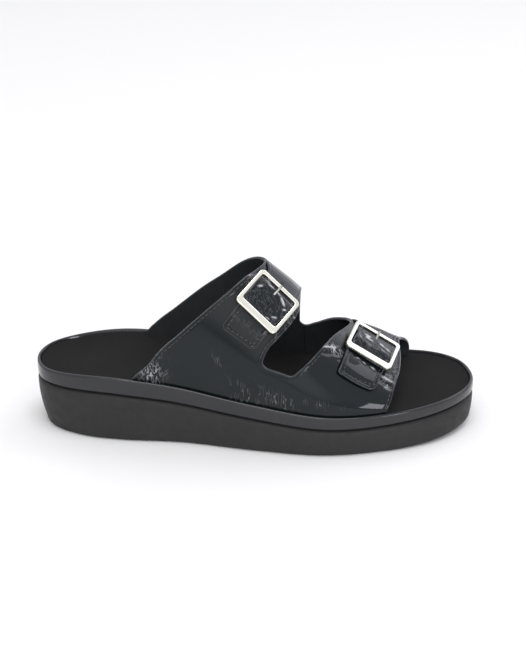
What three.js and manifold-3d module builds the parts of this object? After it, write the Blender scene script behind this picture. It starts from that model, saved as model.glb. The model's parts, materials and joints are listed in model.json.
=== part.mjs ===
// Slide sandal, right shoe: a wedge sole, a footbed wrapped in a band, an upper with two buckled straps.
// Millimetres. +X runs to the toe, +Y to the inner side of the foot, +Z up from the floor.
import * as THREE from 'three';
import { mergeVertices } from 'three/addons/utils/BufferGeometryUtils.js';
import Module from 'manifold-3d';

const wasm = await Module();
wasm.setup();

// Driving dimensions of the footbed and the sole
const footbedLength = 256;
const ballWidth = 91.6;
const heelRimHeight = 40.4;
const bandHeight = 10.9;
const bandWall = 2.2;
const bandEdgeRadius = 1.1;
const bandFoot = 0.9;
const grooveHeight = 1.3;
const toeSpring = 3.6;
const springFrom = 0.78;
const soleShoulder = 3;
const soleTopInset = 1.4;
const soleTaper = 0.9;
const heelUndercut = 2.8;
const undercutLength = 36;
const groundEdgeRadius = 2.6;
const insoleThickness = 1.8;
const insoleDrop = 1.4;
const heelCupDepth = 5;
const forefootDishDepth = 2.2;

// Driving dimensions of the upper
const instepHeight = 69.4;
const upperWall = 2;
const rootDepth = 6;
const gapCornerRadius = 3;
const strapThickness = 1.6;

// Driving dimensions of the buckles
const buckleWidth = 29.5;
const buckleLength = 26;
const buckleBar = 2.3;
const buckleTipBar = 4.3;
const buckleThickness = 2.4;
const buckleEdgeRadius = 0.5;
const buckleCornerRadius = 2.6;
const centreBarDiameter = 1.6;
const centreBarDrop = 0.5;
const prongDiameter = 1.6;
const prongOverhang = 0.4;

// Clearances
const pieceGap = 0.3;
const prongClearance = 0.45;
const cutMargin = 1;
const insoleEdge = bandWall + pieceGap;

// Mesh steps
const outlineSteps = 72;
const wallLines = 5;
const strapLines = 26;
const rearColumns = 6;
const gapColumns = 3;
const frontColumns = 5;
const strapColumns = 5;
const tipLines = 5;
const barLines = 12;
const joinLines = 8;
const pocketSteps = 36;
const turnStep = 0.002;
const stationStep = 0.5;
const girthStep = 0.004;
const cornerGirths = [0, 0.0035, 0.0085, 0.0155];

// Outline of the rim at equal turns from the heel to the toe: reach from the shoe's axis, in shares of
// ballWidth
const outlineRows = [
  { outer: 0, inner: 0 },
  { outer: 0.199, inner: 0.188 },
  { outer: 0.317, inner: 0.302 },
  { outer: 0.375, inner: 0.373 },
  { outer: 0.399, inner: 0.393 },
  { outer: 0.484, inner: 0.393 },
  { outer: 0.535, inner: 0.435 },
  { outer: 0.467, inner: 0.465 },
  { outer: 0.344, inner: 0.415 },
  { outer: 0.167, inner: 0.269 },
  { outer: -0.033, inner: 0.033 },
];

// Heights along the footbed: the rim in shares of heelRimHeight, the band in shares of bandHeight
const sideRows = [
  { at: 0, rim: 0.96, band: 0.82 },
  { at: 0.2, rim: 1, band: 1 },
  { at: 0.45, rim: 0.787, band: 0.9 },
  { at: 0.7, rim: 0.611, band: 0.76 },
  { at: 1, rim: 0.678, band: 0.634 },
];

// Crest of the last: its height over the rim in shares of instepHeight, and its shift to the inner side
// in shares of ballWidth
const crestRows = [
  { at: 0.195, crest: 1.95, lean: 0.066 },
  { at: 0.352, crest: 1.45, lean: 0.066 },
  { at: 0.523, crest: 1, lean: 0.066 },
  { at: 0.578, crest: 0.85, lean: 0.07 },
  { at: 0.605, crest: 0.763, lean: 0.076 },
  { at: 0.719, crest: 0.455, lean: 0.1 },
  { at: 0.781, crest: 0.335, lean: 0.114 },
  { at: 0.832, crest: 0.235, lean: 0.12 },
  { at: 0.938, crest: 0.15, lean: 0.12 },
];

// Rear and front edge of the upper from the outer root (girth 0) over the instep (0.5) to the inner
// root (1), in shares of footbedLength
const edgeRows = [
  { girth: 0, rear: 0.229, front: 0.797 },
  { girth: 0.02, rear: 0.262, front: 0.8 },
  { girth: 0.05, rear: 0.292, front: 0.804 },
  { girth: 0.1, rear: 0.342, front: 0.81 },
  { girth: 0.17, rear: 0.396, front: 0.818 },
  { girth: 0.25, rear: 0.444, front: 0.825 },
  { girth: 0.33, rear: 0.479, front: 0.83 },
  { girth: 0.41, rear: 0.506, front: 0.833 },
  { girth: 0.5, rear: 0.5215, front: 0.832 },
  { girth: 0.58, rear: 0.52, front: 0.833 },
  { girth: 0.66, rear: 0.5, front: 0.837 },
  { girth: 0.75, rear: 0.464, front: 0.85 },
  { girth: 0.83, rear: 0.42, front: 0.857 },
  { girth: 0.9, rear: 0.362, front: 0.86 },
  { girth: 0.95, rear: 0.31, front: 0.861 },
  { girth: 0.98, rear: 0.268, front: 0.861 },
  { girth: 1, rear: 0.238, front: 0.861 },
];

// Gap between the straps: its rear side and its front side, in shares of footbedLength
const gapRows = [
  { girth: 0, rear: 0.52, front: 0.588 },
  { girth: 0.1, rear: 0.52, front: 0.588 },
  { girth: 0.155, rear: 0.533, front: 0.613 },
  { girth: 0.2, rear: 0.554, front: 0.631 },
  { girth: 0.28, rear: 0.582, front: 0.654 },
  { girth: 0.375, rear: 0.601, front: 0.679 },
  { girth: 0.46, rear: 0.602, front: 0.701 },
  { girth: 0.54, rear: 0.605, front: 0.716 },
  { girth: 0.61, rear: 0.605, front: 0.717 },
  { girth: 0.71, rear: 0.603, front: 0.702 },
  { girth: 0.8, rear: 0.601, front: 0.668 },
  { girth: 0.85, rear: 0.6, front: 0.645 },
  { girth: 0.89, rear: 0.6, front: 0.622 },
  { girth: 1, rear: 0.6, front: 0.622 },
];
const gapFloorOuter = 0.104;
const gapFloorInner = 0.892;

// The two straps where they lie on the outer quarter, from the tip up to where they join the wall: their
// middle in shares of footbedLength, their width along the shoe in shares of the buckle's window, the girth
// at the middle of the buckle, how far its upper bar is tipped up in radians, and how much further up the
// girth the tip's rear corner lies than its front corner
const straps = [
  {
    name: 'rear',
    buckleGirth: 0.298,
    buckleTilt: 0,
    tipSlant: 0.014,
    rows: [
      { girth: 0.145, middle: 0.4675, width: 0.771 },
      { girth: 0.23, middle: 0.503, width: 0.73 },
      { girth: 0.3, middle: 0.5285, width: 0.73 },
      { girth: 0.38, middle: 0.551, width: 0.71 },
      { girth: 0.43, middle: 0.561, width: 0.71 },
      { girth: 0.5, middle: 0.563, width: 0.782 },
      { girth: 0.58, middle: 0.563, width: 0.782 },
    ],
  },
  {
    name: 'front',
    buckleGirth: 0.376,
    buckleTilt: 0.05,
    tipSlant: 0.044,
    rows: [
      { girth: 0.17, middle: 0.725, width: 0.864 },
      { girth: 0.25, middle: 0.7385, width: 0.883 },
      { girth: 0.35, middle: 0.755, width: 0.86 },
      { girth: 0.45, middle: 0.769, width: 0.86 },
      { girth: 0.55, middle: 0.7755, width: 0.936 },
      { girth: 0.62, middle: 0.776, width: 1.07 },
      { girth: 0.7, middle: 0.7715, width: 1.224 },
    ],
  },
];
const strapJoinGirths = 0.13;
const barReach = 5.8;
const middleSpan = 0.05;
const tipCornerRadius = 3;

// Shape of the arched sections: fullness of their shoulders, how the lines along the outer wall rise to the
// toe and at what girths that fades out, and the length of a whole girth where lines turn a corner
const archFullness = 2.1;
const outerLineLean = 1.1;
const lineLeanFrom = 0.53;
const lineLeanFade = { from: 0.1, to: 0.32 };
const girthLength = 200;

// Dish of the insole from its edge inwards: reach, and share of the depth; the cup passes into the
// forefoot's dish between two stations
const dishRings = [
  { reach: 0, share: 0 },
  { reach: 2, share: 0.28 },
  { reach: 6, share: 0.68 },
  { reach: 12, share: 0.93 },
  { reach: 20, share: 1 },
];
const cupFade = { from: 0.2, to: 0.7 };

// Values at equal steps from one end, the other end left out
const spread = (from, to, count) =>
  Array.from({ length: count }, (_, k) => from + ((to - from) * k) / count);

// Smooth value of a column at a place between rows
function smooth(rows, place, column, at) {
  let i = 0;
  while (i < rows.length - 2 && at > rows[i + 1][place]) i += 1;
  const slope = (k) => {
    const a = rows[Math.max(k - 1, 0)];
    const b = rows[Math.min(k + 1, rows.length - 1)];
    return (b[column] - a[column]) / (b[place] - a[place]);
  };
  const [a, b] = [rows[i], rows[i + 1]];
  const span = b[place] - a[place];
  const t = THREE.MathUtils.clamp((at - a[place]) / span, 0, 1);
  const rise = b[column] - a[column];
  const bend = (1 - t) * (slope(i) * span - rise) - t * (slope(i + 1) * span - rise);
  return a[column] + rise * t + t * (1 - t) * bend;
}

const rimHeight = (x) => heelRimHeight * smooth(sideRows, 'at', 'rim', x / footbedLength);
const bandBottom = (x) => rimHeight(x) - bandHeight * smooth(sideRows, 'at', 'band', x / footbedLength);
const soleTop = (x) => bandBottom(x) - pieceGap;
const soleBottom = (x) => toeSpring * Math.max(0, (x / footbedLength - springFrom) / (1 - springFrom)) ** 2;

// Point of the rim's outline at a turn: 0 at the heel, outer side first, 0.5 at the toe
function rimPoint(turn) {
  const count = outlineRows.length - 1;
  const reach = (k) => {
    const step = ((k % (2 * count)) + 2 * count) % (2 * count);
    return step <= count ? -outlineRows[step].outer : outlineRows[2 * count - step].inner;
  };
  const place = turn * 2 * count;
  const k = Math.floor(place);
  const t = place - k;
  const [p, a, b, n] = [reach(k - 1), reach(k), reach(k + 1), reach(k + 2)];
  const bend = (1 - t) * ((b - p) / 2 - (b - a)) - t * ((n - a) / 2 - (b - a));
  const share = a + (b - a) * t + t * (1 - t) * bend;
  const along = (1 - Math.cos(2 * Math.PI * turn)) / 2;
  return new THREE.Vector2(footbedLength * along, ballWidth * share);
}

const rimWay = (turn) => rimPoint(turn + turnStep).sub(rimPoint(turn - turnStep));

function insetPoint(turn, inset) {
  const way = rimWay(turn).normalize();
  return rimPoint(turn).add(new THREE.Vector2(-way.y, way.x).multiplyScalar(inset));
}

// Closed solid from a stack of rings that runs from the middle of the underside out, up and in again
function ringSolid(rings, closed = false) {
  const points = [];
  const faces = [];
  for (const ring of rings) {
    for (let k = 0; k < outlineSteps; k += 1) {
      const turn = k / outlineSteps;
      const flat = insetPoint(turn, ring.inset(rimPoint(turn).x));
      points.push(flat.x, flat.y, ring.height(flat.x));
    }
  }
  const last = rings.length - 1;
  for (let r = 0; r < (closed ? rings.length : last); r += 1) {
    const next = (r + 1) % rings.length;
    for (let k = 0; k < outlineSteps; k += 1) {
      const [a, b] = [r * outlineSteps + k, r * outlineSteps + ((k + 1) % outlineSteps)];
      const [c, d] = [next * outlineSteps + k, next * outlineSteps + ((k + 1) % outlineSteps)];
      faces.push(a, b, d, a, d, c);
    }
  }
  if (!closed) {
    faces.push(...cap(0, true), ...cap(last * outlineSteps, false));
  }
  return solid(points, faces);
}

// Ladder of triangles between the two sides of one ring
function cap(start, under) {
  const faces = [];
  const half = outlineSteps / 2;
  for (let k = 0; k < half; k += 1) {
    const [a, b] = [start + k, start + k + 1];
    const c = start + ((outlineSteps - k) % outlineSteps);
    const d = start + outlineSteps - k - 1;
    if (k > 0) faces.push(...(under ? [a, c, b] : [a, b, c]));
    if (k < half - 1) faces.push(...(under ? [b, c, d] : [b, d, c]));
  }
  return faces;
}

// Solids between vertex lists and the boolean library
function solid(points, faces) {
  return new wasm.Manifold(
    new wasm.Mesh({
      numProp: 3,
      vertProperties: new Float32Array(points),
      triVerts: new Uint32Array(faces),
    }),
  );
}

function fromGeometry(geometry) {
  const bare = geometry.clone();
  bare.deleteAttribute('normal');
  bare.deleteAttribute('uv');
  const merged = mergeVertices(bare, 1e-4);
  return solid(merged.attributes.position.array, merged.index.array);
}

function toGeometry(body) {
  const mesh = body.getMesh();
  const geometry = new THREE.BufferGeometry();
  const positions = new Float32Array((mesh.vertProperties.length / mesh.numProp) * 3);
  for (let v = 0; v < positions.length / 3; v += 1) {
    for (let axis = 0; axis < 3; axis += 1) {
      positions[3 * v + axis] = mesh.vertProperties[mesh.numProp * v + axis];
    }
  }
  geometry.setAttribute('position', new THREE.BufferAttribute(positions, 3));
  geometry.setIndex(new THREE.BufferAttribute(new Uint32Array(mesh.triVerts), 1));
  geometry.computeVertexNormals();
  return geometry;
}

const shoe = new THREE.Group();

function addPiece(name, body, colour, roughness, metalness = 0) {
  const material = new THREE.MeshStandardMaterial({ color: colour, roughness, metalness });
  const mesh = new THREE.Mesh(toGeometry(body), material);
  mesh.name = name;
  shoe.add(mesh);
}

const level = (value) => () => value;
const rounding = 1 - Math.SQRT1_2;

// Outsole: flat under heel and forefoot, undercut at the heel, with a rounded shoulder under the band
function makeOutsole() {
  const taper = (x) => soleTaper + heelUndercut * Math.max(0, 1 - x / undercutLength);
  const low = (x) => soleBottom(x) + groundEdgeRadius;
  const high = (x) => soleTop(x) - soleShoulder;
  const edge = rounding * groundEdgeRadius;
  return ringSolid([
    { inset: (x) => taper(x) + groundEdgeRadius, height: soleBottom },
    { inset: (x) => taper(x) + edge, height: (x) => soleBottom(x) + edge },
    { inset: taper, height: low },
    { inset: (x) => taper(x) / 4, height: (x) => (low(x) + high(x)) / 2 },
    { inset: level(0), height: high },
    { inset: level(rounding * soleTopInset), height: (x) => soleTop(x) - rounding * soleShoulder },
    { inset: level(soleTopInset), height: soleTop },
  ]);
}

// Band wrapped round the footbed, with a rounded top edge
function makeBand() {
  const top = (drop) => (x) => rimHeight(x) - drop;
  return ringSolid(
    [
      { inset: level(bandWall), height: bandBottom },
      { inset: level(bandFoot), height: bandBottom },
      { inset: level(0), height: (x) => bandBottom(x) + grooveHeight },
      { inset: level(0), height: top(bandEdgeRadius) },
      { inset: level(rounding * bandEdgeRadius), height: top(rounding * bandEdgeRadius) },
      { inset: level(bandEdgeRadius), height: top(0) },
      { inset: level(bandWall), height: top(bandEdgeRadius / 2) },
    ],
    true,
  );
}

// Dished top of the insole: a cup at the heel, a shallow dish under the ball, level with the band's edge at
// its rim
function dish(x, share) {
  const fade = THREE.MathUtils.smoothstep(x / footbedLength, cupFade.from, cupFade.to);
  return rimHeight(x) - insoleDrop - share * THREE.MathUtils.lerp(heelCupDepth, forefootDishDepth, fade);
}

const dishedRings = (drop) =>
  dishRings.map(({ reach, share }) => ({
    inset: level(insoleEdge + reach),
    height: (x) => dish(x, share) - drop,
  }));

// Insole cover laid in the dish
function makeInsole() {
  return ringSolid([...dishedRings(insoleThickness).reverse(), ...dishedRings(0)]);
}

// Footbed core between outsole and insole
function makeFootbed() {
  const under = [
    { inset: level(insoleEdge + dishRings.at(-1).reach), height: bandBottom },
    { inset: level(insoleEdge), height: bandBottom },
  ];
  return ringSolid([...under, ...dishedRings(insoleThickness + pieceGap)]);
}

// Upper: arched sections of the last
const turnAt = (x) => Math.acos(THREE.MathUtils.clamp(1 - (2 * x) / footbedLength, -1, 1)) / (2 * Math.PI);

// Reach of the rim at a station, moved in by an inset measured square to the outline
function reachAt(x, side, inset) {
  const turn = side < 0 ? turnAt(x) : 1 - turnAt(x);
  const way = rimWay(turn);
  return rimPoint(turn).y - (side * inset * way.length()) / Math.abs(way.x);
}

// Lines along the upper keep their height low on the outer wall, so the girth there grows to the toe
function leanedGirth(girth, x) {
  const fade = 1 - THREE.MathUtils.smoothstep(girth, lineLeanFade.from, lineLeanFade.to);
  return girth * (1 + outerLineLean * Math.max(0, x / footbedLength - lineLeanFrom) * fade);
}

function lastPoint(x, girth) {
  const outer = reachAt(x, -1, insoleEdge);
  const inner = reachAt(x, 1, insoleEdge);
  const crest = instepHeight * smooth(crestRows, 'at', 'crest', x / footbedLength);
  const turn = Math.PI * girth;
  const lean = ballWidth * smooth(crestRows, 'at', 'lean', x / footbedLength);
  const across = -Math.sign(Math.cos(turn)) * Math.abs(Math.cos(turn)) ** (2 / archFullness);
  const rise = Math.max(Math.sin(turn), 0) ** (2 / archFullness);
  const y = (outer + inner) / 2 + ((inner - outer) / 2) * across + lean * rise ** 2;
  return new THREE.Vector3(x, y, rimHeight(x) + crest * rise);
}

function lastNormal(x, girth) {
  const [low, high] = [2 * girthStep, 1 - 2 * girthStep];
  const g = THREE.MathUtils.clamp(girth, low, high);
  const along = lastPoint(x + stationStep, g).sub(lastPoint(x - stationStep, g));
  const over = lastPoint(x, g + girthStep).sub(lastPoint(x, g - girthStep));
  if (girth < low) over.set(0, 0, 1);
  if (girth > high) over.set(0, 0, -1);
  return along.cross(over).normalize();
}

// Closed sheet from a grid of points: cells flagged open are left out, and every free edge gets a wall
function sheetSolid(top, under, isOpen) {
  const rows = top.length;
  const columns = top[0].length;
  const points = [];
  const faces = [];
  for (const layer of [top, under]) {
    for (const row of layer) for (const p of row) points.push(p.x, p.y, p.z);
  }
  const at = (layer, i, j) => layer * rows * columns + i * columns + j;
  const solidCell = (i, j) => i >= 0 && j >= 0 && i < rows - 1 && j < columns - 1 && !isOpen(i, j);
  for (let i = 0; i < rows - 1; i += 1) {
    for (let j = 0; j < columns - 1; j += 1) {
      if (isOpen(i, j)) continue;
      const [a, b, c, d] = [at(0, i, j), at(0, i, j + 1), at(0, i + 1, j + 1), at(0, i + 1, j)];
      const [e, f, g, h] = [at(1, i, j), at(1, i, j + 1), at(1, i + 1, j + 1), at(1, i + 1, j)];
      faces.push(a, b, c, a, c, d, e, g, f, e, h, g);
      if (!solidCell(i - 1, j)) faces.push(a, e, f, a, f, b);
      if (!solidCell(i + 1, j)) faces.push(d, c, g, d, g, h);
      if (!solidCell(i, j - 1)) faces.push(a, d, h, a, h, e);
      if (!solidCell(i, j + 1)) faces.push(b, f, g, b, g, c);
    }
  }
  return solid(points, faces);
}

// Girths of the upper's lines, close together where the gap between the straps turns its corners
function girthLines() {
  const low = cornerGirths.map((step) => gapFloorOuter + step);
  const high = cornerGirths.map((step) => gapFloorInner - step).reverse();
  const between = spread(low.at(-1), high[0], strapLines).slice(1);
  const above = spread(high.at(-1), 1, wallLines).slice(1);
  return [...spread(0, low[0], wallLines), ...low, ...between, ...high, ...above, 1];
}

// How far a rounded corner pulls an edge in, at a girth beyond the line where the corner begins
function cornerPull(girth, radius) {
  const round = THREE.MathUtils.clamp(1 - (girth * girthLength) / radius, 0, 1);
  return radius * (1 - Math.sqrt(1 - round ** 2));
}

// Edges of the upper on one of its lines, with the corners of the gap rounded near its floors
function edgesAt(girth) {
  const edge = (rows, column) => footbedLength * smooth(rows, 'girth', column, girth);
  const pull = cornerPull(Math.min(girth - gapFloorOuter, gapFloorInner - girth), gapCornerRadius);
  return {
    rear: edge(edgeRows, 'rear'),
    gapRear: edge(gapRows, 'rear') + pull,
    gapFront: edge(gapRows, 'front') - pull,
    front: edge(edgeRows, 'front'),
  };
}

function wallStations(girth) {
  const { rear, gapRear, gapFront, front } = edgesAt(girth);
  const behind = spread(rear, gapRear, rearColumns);
  const across = spread(gapRear, gapFront, gapColumns);
  return [...behind, ...across, ...spread(gapFront, front, frontColumns), front];
}

// Wall of the upper: both quarters and both straps in one sheet, down to roots beside the footbed
function makeWall() {
  const lines = girthLines();
  const top = [];
  const under = [];
  const addLine = (girth, drop) => {
    const outerRow = [];
    const innerRow = [];
    for (const x of wallStations(girth)) {
      const g = leanedGirth(girth, x);
      const point = lastPoint(x, g);
      const inside = point.clone().addScaledVector(lastNormal(x, g), -upperWall);
      if (girth === 0 || girth === 1) inside.z = point.z;
      point.z -= drop;
      inside.z -= drop;
      outerRow.push(point);
      innerRow.push(inside);
    }
    top.push(outerRow);
    under.push(innerRow);
  };
  addLine(0, rootDepth);
  lines.forEach((girth) => addLine(girth, 0));
  addLine(1, rootDepth);
  const floors = [wallLines + 1, lines.length - wallLines];
  const inGap = (j) => j >= rearColumns && j < rearColumns + gapColumns;
  return sheetSolid(top, under, (i, j) => i >= floors[0] && i < floors[1] && inGap(j));
}

// Place of a strap's middle line on the last
const strapMiddle = (rows, girth) =>
  lastPoint(footbedLength * smooth(rows, 'girth', 'middle', girth), girth);

// Axes of a buckle: u along its bars to the toe side, v along the strap to the crest, n out of the leather;
// with the heights of its underside and of its centre bar over its middle
function buckleFrame({ name, rows, buckleGirth, buckleTilt }) {
  const centre = strapMiddle(rows, buckleGirth);
  const below = strapMiddle(rows, buckleGirth - middleSpan);
  const along = strapMiddle(rows, buckleGirth + middleSpan).sub(below);
  const n = lastNormal(centre.x, buckleGirth);
  const u = along.cross(n).normalize();
  n.applyAxisAngle(u, buckleTilt);
  const frame = { name, girth: buckleGirth, centre, u, v: n.clone().cross(u), n };
  const seat = buckleSeat(frame);
  return { ...frame, seat, bar: seat - centreBarDrop + centreBarDiameter / 2 };
}

function local(frame, point) {
  const arm = point.clone().sub(frame.centre);
  return { u: arm.dot(frame.u), v: arm.dot(frame.v), n: arm.dot(frame.n) };
}

// Highest place of the outer wall over a buckle's plane, within a part of its footprint
function highest(frame, covers) {
  let best = -Infinity;
  for (let x = -buckleWidth; x <= buckleWidth; x += 2 * stationStep) {
    for (let turn = -buckleLength / girthLength; turn <= buckleLength / girthLength; turn += girthStep) {
      const place = local(frame, lastPoint(frame.centre.x + x, frame.girth + turn));
      if (covers(Math.abs(place.u), place.v)) best = Math.max(best, place.n);
    }
  }
  return best;
}

// Height of a buckle's underside over its middle: clear of the strap under its end bars and of the wall
// beside it
function buckleSeat(frame) {
  const half = { u: buckleWidth / 2, v: buckleLength / 2 };
  const isWithin = (u, v) => u < half.u && Math.abs(v) < half.v;
  const isSide = (u) => u > half.u - buckleBar;
  const isEnd = (v) => v < buckleTipBar - half.v || v > half.v - buckleBar;
  const underEnds = highest(frame, (u, v) => isWithin(u, v) && !isSide(u) && isEnd(v));
  const underSides = highest(frame, (u, v) => isWithin(u, v) && isSide(u));
  return pieceGap + Math.max(underEnds + strapThickness, underSides);
}

// How far a strap lifts over the centre bar at a point of the wall under it
function liftOver(frame, point) {
  const height = frame.bar + centreBarDiameter / 2 + pieceGap;
  return height * Math.exp(-((local(frame, point).v / barReach) ** 4));
}

// Strap end as a raised layer on the wall: it lifts over the centre bar and runs into the wall past its
// buckle
function makeStrap(strap) {
  const frame = buckleFrame(strap);
  const [tip, end] = [strap.rows[0].girth, strap.rows.at(-1).girth];
  const corner = cornerGirths.map((step) => tip + step);
  const [low, high] = [-1, 1].map((side) => frame.girth + (side * buckleLength) / 2 / girthLength);
  const girths = [...corner, ...spread(corner.at(-1), low, tipLines).slice(1)];
  girths.push(...spread(low, high, barLines), ...spread(high, end, joinLines), end);
  const top = [];
  const under = [];
  for (const girth of girths) {
    const pull = cornerPull(girth - tip, tipCornerRadius);
    const middle = footbedLength * smooth(strap.rows, 'girth', 'middle', girth);
    const half = ((buckleWidth - 2 * buckleBar) / 2) * smooth(strap.rows, 'girth', 'width', girth) - pull;
    const join = THREE.MathUtils.smoothstep(girth, end - strapJoinGirths, end);
    const slant = (strap.tipSlant * (end - girth)) / (end - tip);
    const outerRow = [];
    const innerRow = [];
    for (let k = 0; k <= strapColumns; k += 1) {
      const across = k / strapColumns;
      const x = middle + half * (2 * across - 1);
      const point = lastPoint(x, girth + slant * (0.5 - across));
      const normal = lastNormal(x, girth + slant * (0.5 - across));
      const rise = THREE.MathUtils.lerp(strapThickness + liftOver(frame, point), -pieceGap, join);
      outerRow.push(point.clone().addScaledVector(normal, rise));
      innerRow.push(point.clone().addScaledVector(normal, -upperWall / 2));
    }
    top.push(outerRow);
    under.push(innerRow);
  }
  return sheetSolid(top, under, () => false);
}

function roundedRectangle(path, left, right, low, high, radius) {
  path.moveTo(left + radius, low);
  path.lineTo(right - radius, low);
  path.absarc(right - radius, low + radius, radius, -Math.PI / 2, 0);
  path.lineTo(right, high - radius);
  path.absarc(right - radius, high - radius, radius, 0, Math.PI / 2);
  path.lineTo(left + radius, high);
  path.absarc(left + radius, high - radius, radius, Math.PI / 2, Math.PI);
  path.lineTo(left, low + radius);
  path.absarc(left + radius, low + radius, radius, Math.PI, 1.5 * Math.PI);
  return path;
}

function placed(geometry, frame) {
  const matrix = new THREE.Matrix4().makeBasis(frame.u, frame.v, frame.n).setPosition(frame.centre);
  return fromGeometry(geometry.applyMatrix4(matrix));
}

function bar(frame, diameter, length) {
  const geometry = new THREE.CylinderGeometry(diameter / 2, diameter / 2, length, 12);
  geometry.rotateZ(Math.PI / 2);
  geometry.translate(0, 0, frame.bar);
  return placed(geometry, frame);
}

// Buckle frame: a square ring with a wider bar on the tip side, and the centre bar under the strap
function makeBuckle(frame) {
  const half = { u: buckleWidth / 2 - buckleEdgeRadius, v: buckleLength / 2 - buckleEdgeRadius };
  const outline = roundedRectangle(new THREE.Shape(), -half.u, half.u, -half.v, half.v, buckleCornerRadius);
  const side = buckleBar - 2 * buckleEdgeRadius;
  const tipSide = buckleTipBar - 2 * buckleEdgeRadius;
  const inner = buckleCornerRadius - side / 2;
  const hole = [-half.u + side, half.u - side, -half.v + tipSide, half.v - side];
  outline.holes.push(roundedRectangle(new THREE.Path(), ...hole, inner));
  const ring = new THREE.ExtrudeGeometry(outline, {
    depth: buckleThickness - 2 * buckleEdgeRadius,
    curveSegments: 3,
    bevelThickness: buckleEdgeRadius,
    bevelSize: buckleEdgeRadius,
    bevelSegments: 2,
  });
  ring.translate(0, 0, frame.seat + buckleEdgeRadius);
  return placed(ring, frame).add(bar(frame, centreBarDiameter, buckleWidth - buckleBar));
}

// Prong: from beside the centre bar out through the strap, resting on the upper bar
function makeProng(frame, growth) {
  const start = (centreBarDiameter + prongDiameter) / 2 + pieceGap;
  const rest = buckleLength / 2 - buckleBar;
  const onBar = frame.seat + buckleThickness + pieceGap + prongDiameter / 2;
  const path = new THREE.CatmullRomCurve3([
    new THREE.Vector3(0, start - growth, frame.bar),
    new THREE.Vector3(0, (start + rest) / 2 - prongDiameter, frame.seat + buckleThickness),
    new THREE.Vector3(0, rest, onBar),
    new THREE.Vector3(0, buckleLength / 2 + prongOverhang, onBar),
  ]);
  const section = new THREE.Shape();
  section.absarc(0, 0, prongDiameter / 2 + growth, 0, 2 * Math.PI);
  const settings = { steps: 9, curveSegments: 6, extrudePath: path };
  return placed(new THREE.ExtrudeGeometry(section, settings), frame);
}

// Pocket beside the footbed that takes the root of one quarter
function rootPocket(side) {
  const girth = side < 0 ? 0 : 1;
  const { rear, front } = edgesAt(girth);
  const face = (inset) => {
    const rows = [];
    for (let k = 0; k <= pocketSteps; k += 1) {
      const x = THREE.MathUtils.lerp(rear - pieceGap, front + pieceGap, k / pocketSteps);
      const y = reachAt(x, side, inset);
      const low = rimHeight(x) - rootDepth - pieceGap;
      rows.push([new THREE.Vector3(x, y, low), new THREE.Vector3(x, y, rimHeight(x) + cutMargin)]);
    }
    return rows;
  };
  const near = face(insoleEdge - 2 * pieceGap);
  const far = face(insoleEdge + upperWall + 2 * pieceGap);
  return side < 0 ? sheetSolid(far, near, () => false) : sheetSolid(near, far, () => false);
}

const pockets = rootPocket(-1).add(rootPocket(1));
const frames = straps.map(buckleFrame);
let upper = makeWall();
for (const strap of straps) upper = upper.add(makeStrap(strap));
for (const frame of frames) {
  upper = upper.subtract(bar(frame, centreBarDiameter + 2 * pieceGap, buckleWidth));
  upper = upper.subtract(makeProng(frame, prongClearance));
}

addPiece('outsole', makeOutsole(), 0x39393b, 0.8);
addPiece('footbed', makeFootbed().subtract(pockets), 0x5a4a3a, 0.9);
addPiece('insole', makeInsole().subtract(pockets), 0x2c2c2c, 0.9);
addPiece('upper', upper, 0x24282a, 0.2);
for (const frame of frames) {
  addPiece(`buckle_${frame.name}_frame`, makeBuckle(frame), 0xd8d6cc, 0.2, 1);
  addPiece(`buckle_${frame.name}_prong`, makeProng(frame, 0), 0xd8d6cc, 0.2, 1);
}
addPiece('rand', makeBand(), 0x232628, 0.2);

const box = new THREE.Box3().setFromObject(shoe);
const middle = box.getCenter(new THREE.Vector3());
shoe.position.set(-middle.x, -middle.y, -box.min.z);

export default shoe;
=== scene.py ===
"""Looks of a two-strap slide sandal, right shoe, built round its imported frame.

Sizes are millimetres in the shoe's own axes: x from the back of the heel to the toe, y to the inner side
of the foot, z up from the floor. Pieces are moved into the frame's metres when their meshes are made.
"""

import json
import logging
import math
from dataclasses import dataclass, field
from enum import Enum
from typing import Callable, ClassVar, Sequence

import bpy
import numpy as np
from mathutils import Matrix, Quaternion, Vector

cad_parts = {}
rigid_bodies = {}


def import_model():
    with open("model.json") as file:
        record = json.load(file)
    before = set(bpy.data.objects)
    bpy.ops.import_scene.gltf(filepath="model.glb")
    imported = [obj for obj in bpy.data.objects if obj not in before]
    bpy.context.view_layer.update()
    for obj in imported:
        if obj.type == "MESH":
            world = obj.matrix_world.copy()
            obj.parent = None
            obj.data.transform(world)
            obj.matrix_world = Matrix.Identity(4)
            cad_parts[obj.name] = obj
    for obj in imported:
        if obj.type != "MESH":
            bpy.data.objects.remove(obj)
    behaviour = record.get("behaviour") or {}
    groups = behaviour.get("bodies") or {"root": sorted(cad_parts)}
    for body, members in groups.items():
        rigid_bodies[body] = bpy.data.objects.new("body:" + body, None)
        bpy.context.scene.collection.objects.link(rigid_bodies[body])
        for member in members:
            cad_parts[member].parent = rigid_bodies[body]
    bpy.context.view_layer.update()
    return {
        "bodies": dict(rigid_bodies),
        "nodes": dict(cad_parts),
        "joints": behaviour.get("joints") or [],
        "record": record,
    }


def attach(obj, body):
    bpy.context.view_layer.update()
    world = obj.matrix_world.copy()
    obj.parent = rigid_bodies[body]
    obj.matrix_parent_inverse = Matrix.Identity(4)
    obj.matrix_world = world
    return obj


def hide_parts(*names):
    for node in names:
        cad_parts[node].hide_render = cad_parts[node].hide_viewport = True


log = logging.getLogger("sandal")
Array = np.ndarray
Colour = tuple[float, float, float, float]


class Slot(Enum):
    """Material slots of the record."""

    SOLE = "sole_foam"
    CORE = "footbed_core"
    INSOLE = "insole_cover"
    UPPER = "upper_leather"
    METAL = "buckle_metal"
    BAND = "rand_patent"


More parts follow.
